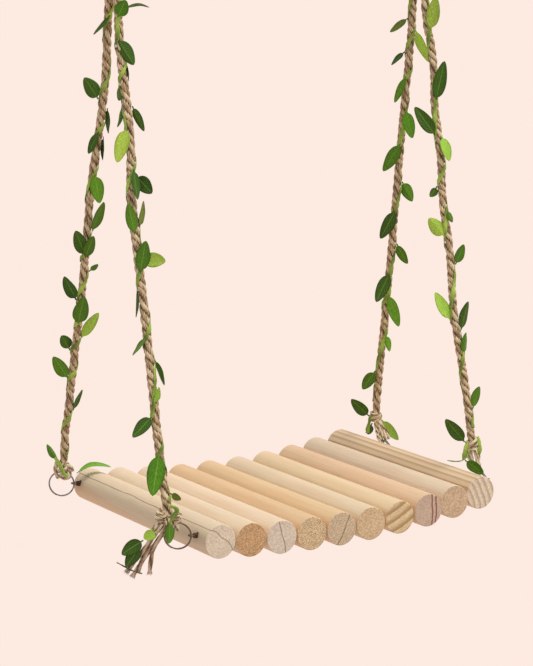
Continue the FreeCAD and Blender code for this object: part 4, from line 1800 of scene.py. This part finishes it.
@dataclass
class EyeTwist:
    """The turns of wire that close a binding wire's left eye.

    Args:
        corner: where it is.
        eye_y: the Y of the eye's middle.
        inward: the way from the eye to its dowel.
        wire_r: the wire's radius.
        turn_r: the radius of the first turn.
        widening: how much wider the last turn is.
        turns: how many turns it has.
        begin: how far from the eye's middle it begins.
        end: how far from there it ends.
        steps: how many control points its turns have.
        sides: how many points the wire's section has.
        stub: how far the wire's end stands out past the last turn, and aside from it.
        step: the distance between the line's points.
    """

    corner: Corner
    eye_y: float
    inward: Place
    wire_r: float = 0.0008
    turn_r: float = 0.0019
    widening: float = 0.0004
    turns: float = 3.1
    begin: float = 0.0026
    end: float = 0.0072
    steps: int = 32
    sides: int = 10
    stub: tuple[float, float] = (0.0016, 0.001)
    step: float = 0.0005

    def build(self, shop: Workshop) -> None:
        """Winds the wire round the eye's neck.

        Args:
            shop: what every piece is made with.
        """
        eye = np.array([-HALF_SPAN, self.eye_y, EYE_HEIGHT])
        inward = unit(np.array(self.inward))
        first = across(UP, inward)
        second = np.cross(inward, first)
        route = []
        for step in range(self.steps + 1):
            share = step / self.steps
            angle = TURN * self.turns * share
            radius = self.turn_r + self.widening * share
            route.append(eye + inward * (self.begin + (self.end - self.begin) * share)
                         + (first * math.cos(angle) + second * math.sin(angle)) * radius)
        route.append(route[-1] + first * self.stub[0] - second * self.stub[1])
        line = Line.along(route, self.step)
        round_it = np.linspace(0, TURN, self.sides, endpoint=False)[None, :, None]
        section = line.normals[:, None] * np.cos(round_it) + line.sides[:, None] * np.sin(round_it)
        skin = shop.skin()
        skin.tube(line.points[:, None] + section * self.wire_r)
        skin.piece("eye_twist_" + self.corner.label, shop.finishes.twist, "seat", "wire")


# The studio


def aim(data: bpy.types.Camera | bpy.types.Light, right: Array, up: Array, back: Array, place: Array) -> Piece:
    """Puts a camera or a lamp in the scene, turned by the ways that point right, up and back from it.

    Args:
        data: the camera or the lamp.
        right: the way to its right.
        up: the way up from it.
        back: the way back from it.
        place: where it stands.

    Returns:
        The object.
    """
    made = bpy.data.objects.new(data.name, data)
    made.matrix_world = Matrix([[right[i], up[i], back[i], place[i]] for i in range(3)] + [[0, 0, 0, 1]])
    bpy.context.scene.collection.objects.link(made)
    return made


@dataclass
class Studio:
    """The camera, the light and the floor.

    Args:
        focal_px: the camera's focal length in the picture's pixels.
        long_side: the picture's longer side in pixels.
        sensor_mm: the width of the camera's sensor.
        azimuth: the camera's turn round the swing.
        elevation: how far it looks down.
        roll: how far it is turned about its own axis.
        distance: how far it stands from the aim.
        aim_height: the height of the point that it turns about.
        right_shift: how far it stands to the right of that point.
        up_shift: how far it stands above that point.
        lamps: each lamp's name, the way to it, its strength, its width in degrees and its colour.
        room: the colour of the room's even light.
        room_strength: how strong that light is.
        floor_height: the height of the floor.
        floor_radius: the floor's radius.
        floor_sides: how many sides it has.
        backdrop: the colour behind the swing.
        backdrop_share: how much of it the floor shows.
        carpet: the colour that the floor throws back at the swing.
    """

    focal_px: float = 2474.0
    long_side: float = 666.0
    sensor_mm: float = 36.0
    azimuth: float = -30.726
    elevation: float = 10.756
    roll: float = -1.340
    distance: float = 2.677501
    aim_height: float = -0.600311
    right_shift: float = -0.013705
    up_shift: float = 0.178675
    lamps: Sequence[tuple[str, Place, float, float, Place]] = (
        ("key_light", (0.27, -0.3, 0.95), 2.3, 30.0, (1.0, 0.985, 0.965)),
        ("fill_light", (-0.8, -0.7, 0.35), 0.15, 60.0, (1.0, 0.99, 0.98)),
    )
    room: tuple[float, ...] = (1.0, 0.985, 0.97, 1.0)
    room_strength: float = 0.44
    floor_height: float = -1.5
    floor_radius: float = 40.0
    floor_sides: int = 64
    backdrop: Paint = (255, 236, 227)
    backdrop_share: float = 0.94
    carpet: Paint = (206, 192, 184)

    def build(self) -> None:
        """Sets up the whole studio."""
        self.camera()
        self.lights()
        self.floor()

    def camera(self) -> None:
        """Places the camera where the photograph was taken from."""
        a, e, r = (math.radians(value) for value in (self.azimuth, self.elevation, self.roll))
        back = np.array([math.sin(a) * math.cos(e), -math.cos(a) * math.cos(e), math.sin(e)])
        level = np.array([math.cos(a), math.sin(a), 0.0])
        upright = np.cross(back, level)
        place = back * self.distance + level * self.right_shift + upright * self.up_shift + UP * self.aim_height
        data = bpy.data.cameras.new("camera")
        data.sensor_width = self.sensor_mm
        data.lens = self.sensor_mm * self.focal_px / self.long_side
        data.clip_end = 100.0
        bpy.context.scene.camera = aim(data, math.cos(r) * level + math.sin(r) * upright,
                                       -math.sin(r) * level + math.cos(r) * upright, back, place)

    def lights(self) -> None:
        """Adds the soft light from above and the front right, and the even light of the room."""
        for name, towards, strength, angle, tint in self.lamps:
            data = bpy.data.lights.new(name, "SUN")
            data.energy = strength
            data.angle = math.radians(angle)
            data.color = tint
            back = unit(np.array(towards))
            right = across(np.array([1.0, 0.0, 0.0]), back)
            aim(data, right, np.cross(back, right), back, np.zeros(3))
        world = bpy.data.worlds.new("room")
        world.use_nodes = True
        bpy.context.scene.world = world
        w = Wiring(world.node_tree)
        room = world.node_tree.nodes["Background"]
        w.feed(room, {"Color": self.room, "Strength": self.room_strength})
        seen = w.node("Background", [paint(*self.backdrop), 1.0])
        mixed = w.node("MixShader", [self.direct_rays(w), room.outputs[0], seen.outputs[0]])
        w.feed(world.node_tree.nodes["World Output"], {"Surface": mixed.outputs[0]})

    @staticmethod
    def direct_rays(w: Wiring) -> NodeSocket:
        """Whether a ray is one that shows the backdrop as it is: from the camera, a reflection or through glass.

        Args:
            w: the wiring of the tree that asks.

        Returns:
            1 for such a ray, 0 for any other.
        """
        rays = w.node("LightPath").outputs
        return w.sum("MAXIMUM", w.sum("MAXIMUM", rays["Is Camera Ray"], rays["Is Glossy Ray"]),
                     rays["Is Transmission Ray"])

    def floor(self) -> None:
        """Lays the plain pale floor well below the seat."""
        angles = np.linspace(0, TURN, self.floor_sides, endpoint=False)
        disc = np.stack([np.cos(angles) * self.floor_radius, np.sin(angles) * self.floor_radius,
                         np.full(self.floor_sides, self.floor_height)], axis=1)
        mesh = bpy.data.meshes.new("floor")
        mesh.from_pydata(disc.tolist(), [], [list(range(self.floor_sides))])
        made = bpy.data.objects.new("floor", mesh)
        finish = bpy.data.materials.new("plain_floor")
        finish.use_nodes = True
        w = Wiring(finish.node_tree)
        matt = w.node("BsdfDiffuse", [paint(*self.carpet)])
        lit = w.node("Emission", [paint(*self.backdrop), 1.0])
        share = w.times(self.direct_rays(w), self.backdrop_share)
        mixed = w.node("MixShader", [share, matt.outputs[0], lit.outputs[0]])
        w.feed(finish.node_tree.nodes["Material Output"], {"Surface": mixed.outputs[0]})
        mesh.materials.append(finish)
        bpy.context.scene.collection.objects.link(made)


# Each leg's lay, the greens of its leaves, its ties and its bends
LEGS = {
    Corner.LEFT_FRONT: (
        Lay(0.0094, 3, 0.030), "MTDDDDDLDDOMLMDMDLDTDOM",
        (((-1.0, 16.0, 5.0), (-7.0, 14.5, 6.0), (-8.5, 10.0, 7.0), (-2.0, 6.0, 8.5), (-1.0, -2.0, 8.5)),),
        ((0.10, -0.15, -0.75), (0.28, 0.2, -0.6), (0.38, -0.5, -0.53), (0.50, -0.45, -0.45),
         (0.58, -0.35, -0.37), (0.72, -0.35, -0.25), (0.94, -0.35, -0.1))),
    Corner.LEFT_REAR: (
        Lay(0.0088, 3, 0.030), "DDDDDBMDMMDMLDMDMB",
        (((8.3, 15.0, 3.0), (5.0, 10.0, 5.5), (1.5, 5.0, 7.5), (0.0, 0.0, 8.5), (-4.0, -6.0, 8.0)),),
        ((0.10, 0.0, -0.75), (0.19, 0.25, -0.7), (0.28, 0.12, -0.62), (0.38, -0.2, -0.53), (0.50, -0.05, -0.43),
         (0.65, 0.05, -0.32), (0.72, -0.1, -0.27), (0.85, -0.15, -0.17), (0.94, -0.3, -0.1))),
    Corner.RIGHT_FRONT: (
        Lay(0.0088, 3, 0.028), "LDDLDMLMLDMMDT",
        (((-5.5, 9.0, 2.0), (-8.0, 3.0, 4.0), (-8.5, -4.0, 4.0), (-7.0, -9.0, 5.0)),
         ((5.0, 5.0, 6.0), (7.5, -2.0, 6.5), (8.5, -9.0, 7.0), (9.5, -15.0, 8.0))),
        ((0.10, 0.1, -0.75), (0.15, 0.5, -0.73), (0.21, 0.5, -0.7), (0.28, 0.0, -0.64), (0.36, 0.2, -0.58),
         (0.43, 0.0, -0.52), (0.50, -0.3, -0.46), (0.57, 0.05, -0.4), (0.70, -0.4, -0.3), (0.78, -0.28, -0.24),
         (0.86, 0.02, -0.17), (0.94, 0.05, -0.1))),
    Corner.RIGHT_REAR: (
        Lay(0.0088, 3, 0.028), "OLDMBMMDMDBBMDLD",
        (((5.5, 3.0, 5.0), (7.5, -4.0, 5.5), (9.0, -10.0, 5.0), (10.0, -18.0, 5.0)),),
        ((0.10, -0.05, -0.75), (0.30, -0.2, -0.65), (0.66, 0.0, -0.3), (0.93, -0.15, -0.1))),
}
STRAND = Lay(0.0050, 2, 0.022, yarns=5, sides=18, hairs=600.0, hair_length=0.004, fullness=1.4)
BUNDLE = Lay(0.0042, 2, 0.030, yarns=5, sides=16, hairs=500.0, hair_length=0.004, fullness=1.4)
KNOTS = (
    CornerKnot(
        Corner.LEFT_FRONT, STRAND,
        [Wrap((9.4, 4.8, 1.5), (-0.55, 0.8, 0.1), 3.3, 2.6, 4.4, 40.0),
         Wrap((-7.4, 4.0, 2.5), (-0.2, 0.3, 0.93), 3.4, 1.5, 3.2, 200.0),
         Wrap((-6.0, 2.0, 0.0), (0.2, 0.95, 0.1), 3.4, 1.4, 4.4, 20.0),
         Wrap((0.0, -1.0, 0.0), (1.0, 0.1, 0.0), 3.8, 1.8, 4.8, 90.0)],
        [((-8.5, 4.0, 4.0), (-9.6, 4.6, 7.0), (-10.4, 4.8, 10.0)),
         ((-6.0, -1.0, 2.0), (-6.6, -5.0, 3.0), (-7.2, -10.0, 3.5)),
         ((10.0, 1.0, 2.0), (12.5, -3.0, 3.0), (17.0, -8.5, 3.0), (20.0, -13.0, 3.5))]),
    CornerKnot(
        Corner.LEFT_REAR, STRAND,
        [Wrap((-2.0, -4.0, 2.5), (0.05, 0.3, 0.95), 4.6, 1.6, 3.4, 200.0),
         Wrap((0.0, 3.5, 0.5), (0.25, 0.95, 0.1), 4.2, 1.7, 4.4, 150.0)],
        [((6.0, 10.0, 0.0), (8.8, 4.0, 1.0), (8.4, -3.0, 1.0), (6.0, -9.0, 0.0)),
         ((-1.5, 9.0, 2.5), (-5.5, 6.5, 3.5), (-9.0, 3.0, 3.0), (-10.0, -1.0, 2.0))]),
    CornerKnot(
        Corner.RIGHT_FRONT, BUNDLE,
        [Wrap((0.0, 1.6, 0.0), (0.25, 0.95, 0.12), 5.6, 2.3, 4.0, 70.0),
         Wrap((0.0, -2.0, 0.0), (-0.3, 0.9, 0.2), 5.2, 1.2, 3.6, 210.0)],
        [((3.5, -3.0, 2.0), (4.8, -9.0, 4.0), (2.6, -17.0, 6.0), (-2.5, -25.0, 8.5)),
         ((1.0, -3.0, 3.5), (1.6, -9.0, 5.5), (0.0, -17.0, 7.5), (-4.0, -26.0, 9.0)),
         ((-4.5, -3.0, 1.0), (-7.0, -9.0, 3.0), (-7.0, -17.0, 5.5), (-5.5, -25.0, 8.5)),
         ((-2.0, -3.0, 3.5), (-4.2, -9.0, 5.0), (-4.8, -17.0, 7.0), (-5.5, -26.0, 9.5))]),
    CornerKnot(
        Corner.RIGHT_REAR, BUNDLE,
        [Wrap((0.0, 1.4, 0.5), (-0.15, 0.92, 0.3), 5.4, 2.1, 3.6, 10.0),
         Wrap((0.0, -1.0, 0.5), (0.3, 0.9, 0.3), 4.8, 1.1, 3.4, 120.0)],
        [((-1.0, -3.0, 2.0), (-0.6, -9.0, 3.0), (-1.6, -18.0, 5.0), (-2.6, -24.0, 8.0)),
         ((-2.0, -3.0, 3.5), (-4.2, -9.0, 4.5), (-5.6, -18.0, 6.5), (-6.0, -25.0, 9.0)),
         ((-3.0, -3.0, 2.0), (-7.2, -9.0, 3.0), (-10.0, -18.0, 5.0), (-10.6, -26.0, 8.0)),
         ((-3.0, -3.0, 1.0), (-8.8, -9.0, 2.0), (-13.2, -18.0, 4.0), (-14.5, -25.0, 6.0))]),
)


def main() -> None:
    """Builds the swing's dress piece by piece."""
    logging.basicConfig(level=logging.INFO, format="%(message)s")
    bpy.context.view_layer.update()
    Studio().build()
    effects = Effects()
    shop = Workshop(effects, Finishes(effects), np.random.default_rng(SEED))
    legs = [RopeLeg(corner, *plan, shop) for corner, plan in LEGS.items()]
    for leg in legs:
        leg.build()
    for leg, knot in zip(legs, KNOTS):
        leg.declare(knot.build(shop))
    for part in (
        TwineLoop(Corner.RIGHT_FRONT), TwineLoop(Corner.RIGHT_REAR), *map(TopHanger, Side), FrayedTail(), Tendril(),
        Seat(), *map(SplitRing, Corner), EyeTwist(Corner.LEFT_FRONT, -0.128, (1.0, 0.024, -0.14)),
        EyeTwist(Corner.LEFT_REAR, 0.133, (1.0, -0.114, -0.14)),
    ):
        part.build(shop)
    bpy.context.scene.view_settings.view_transform = "Standard"


if __name__ == "__main__":
    main()
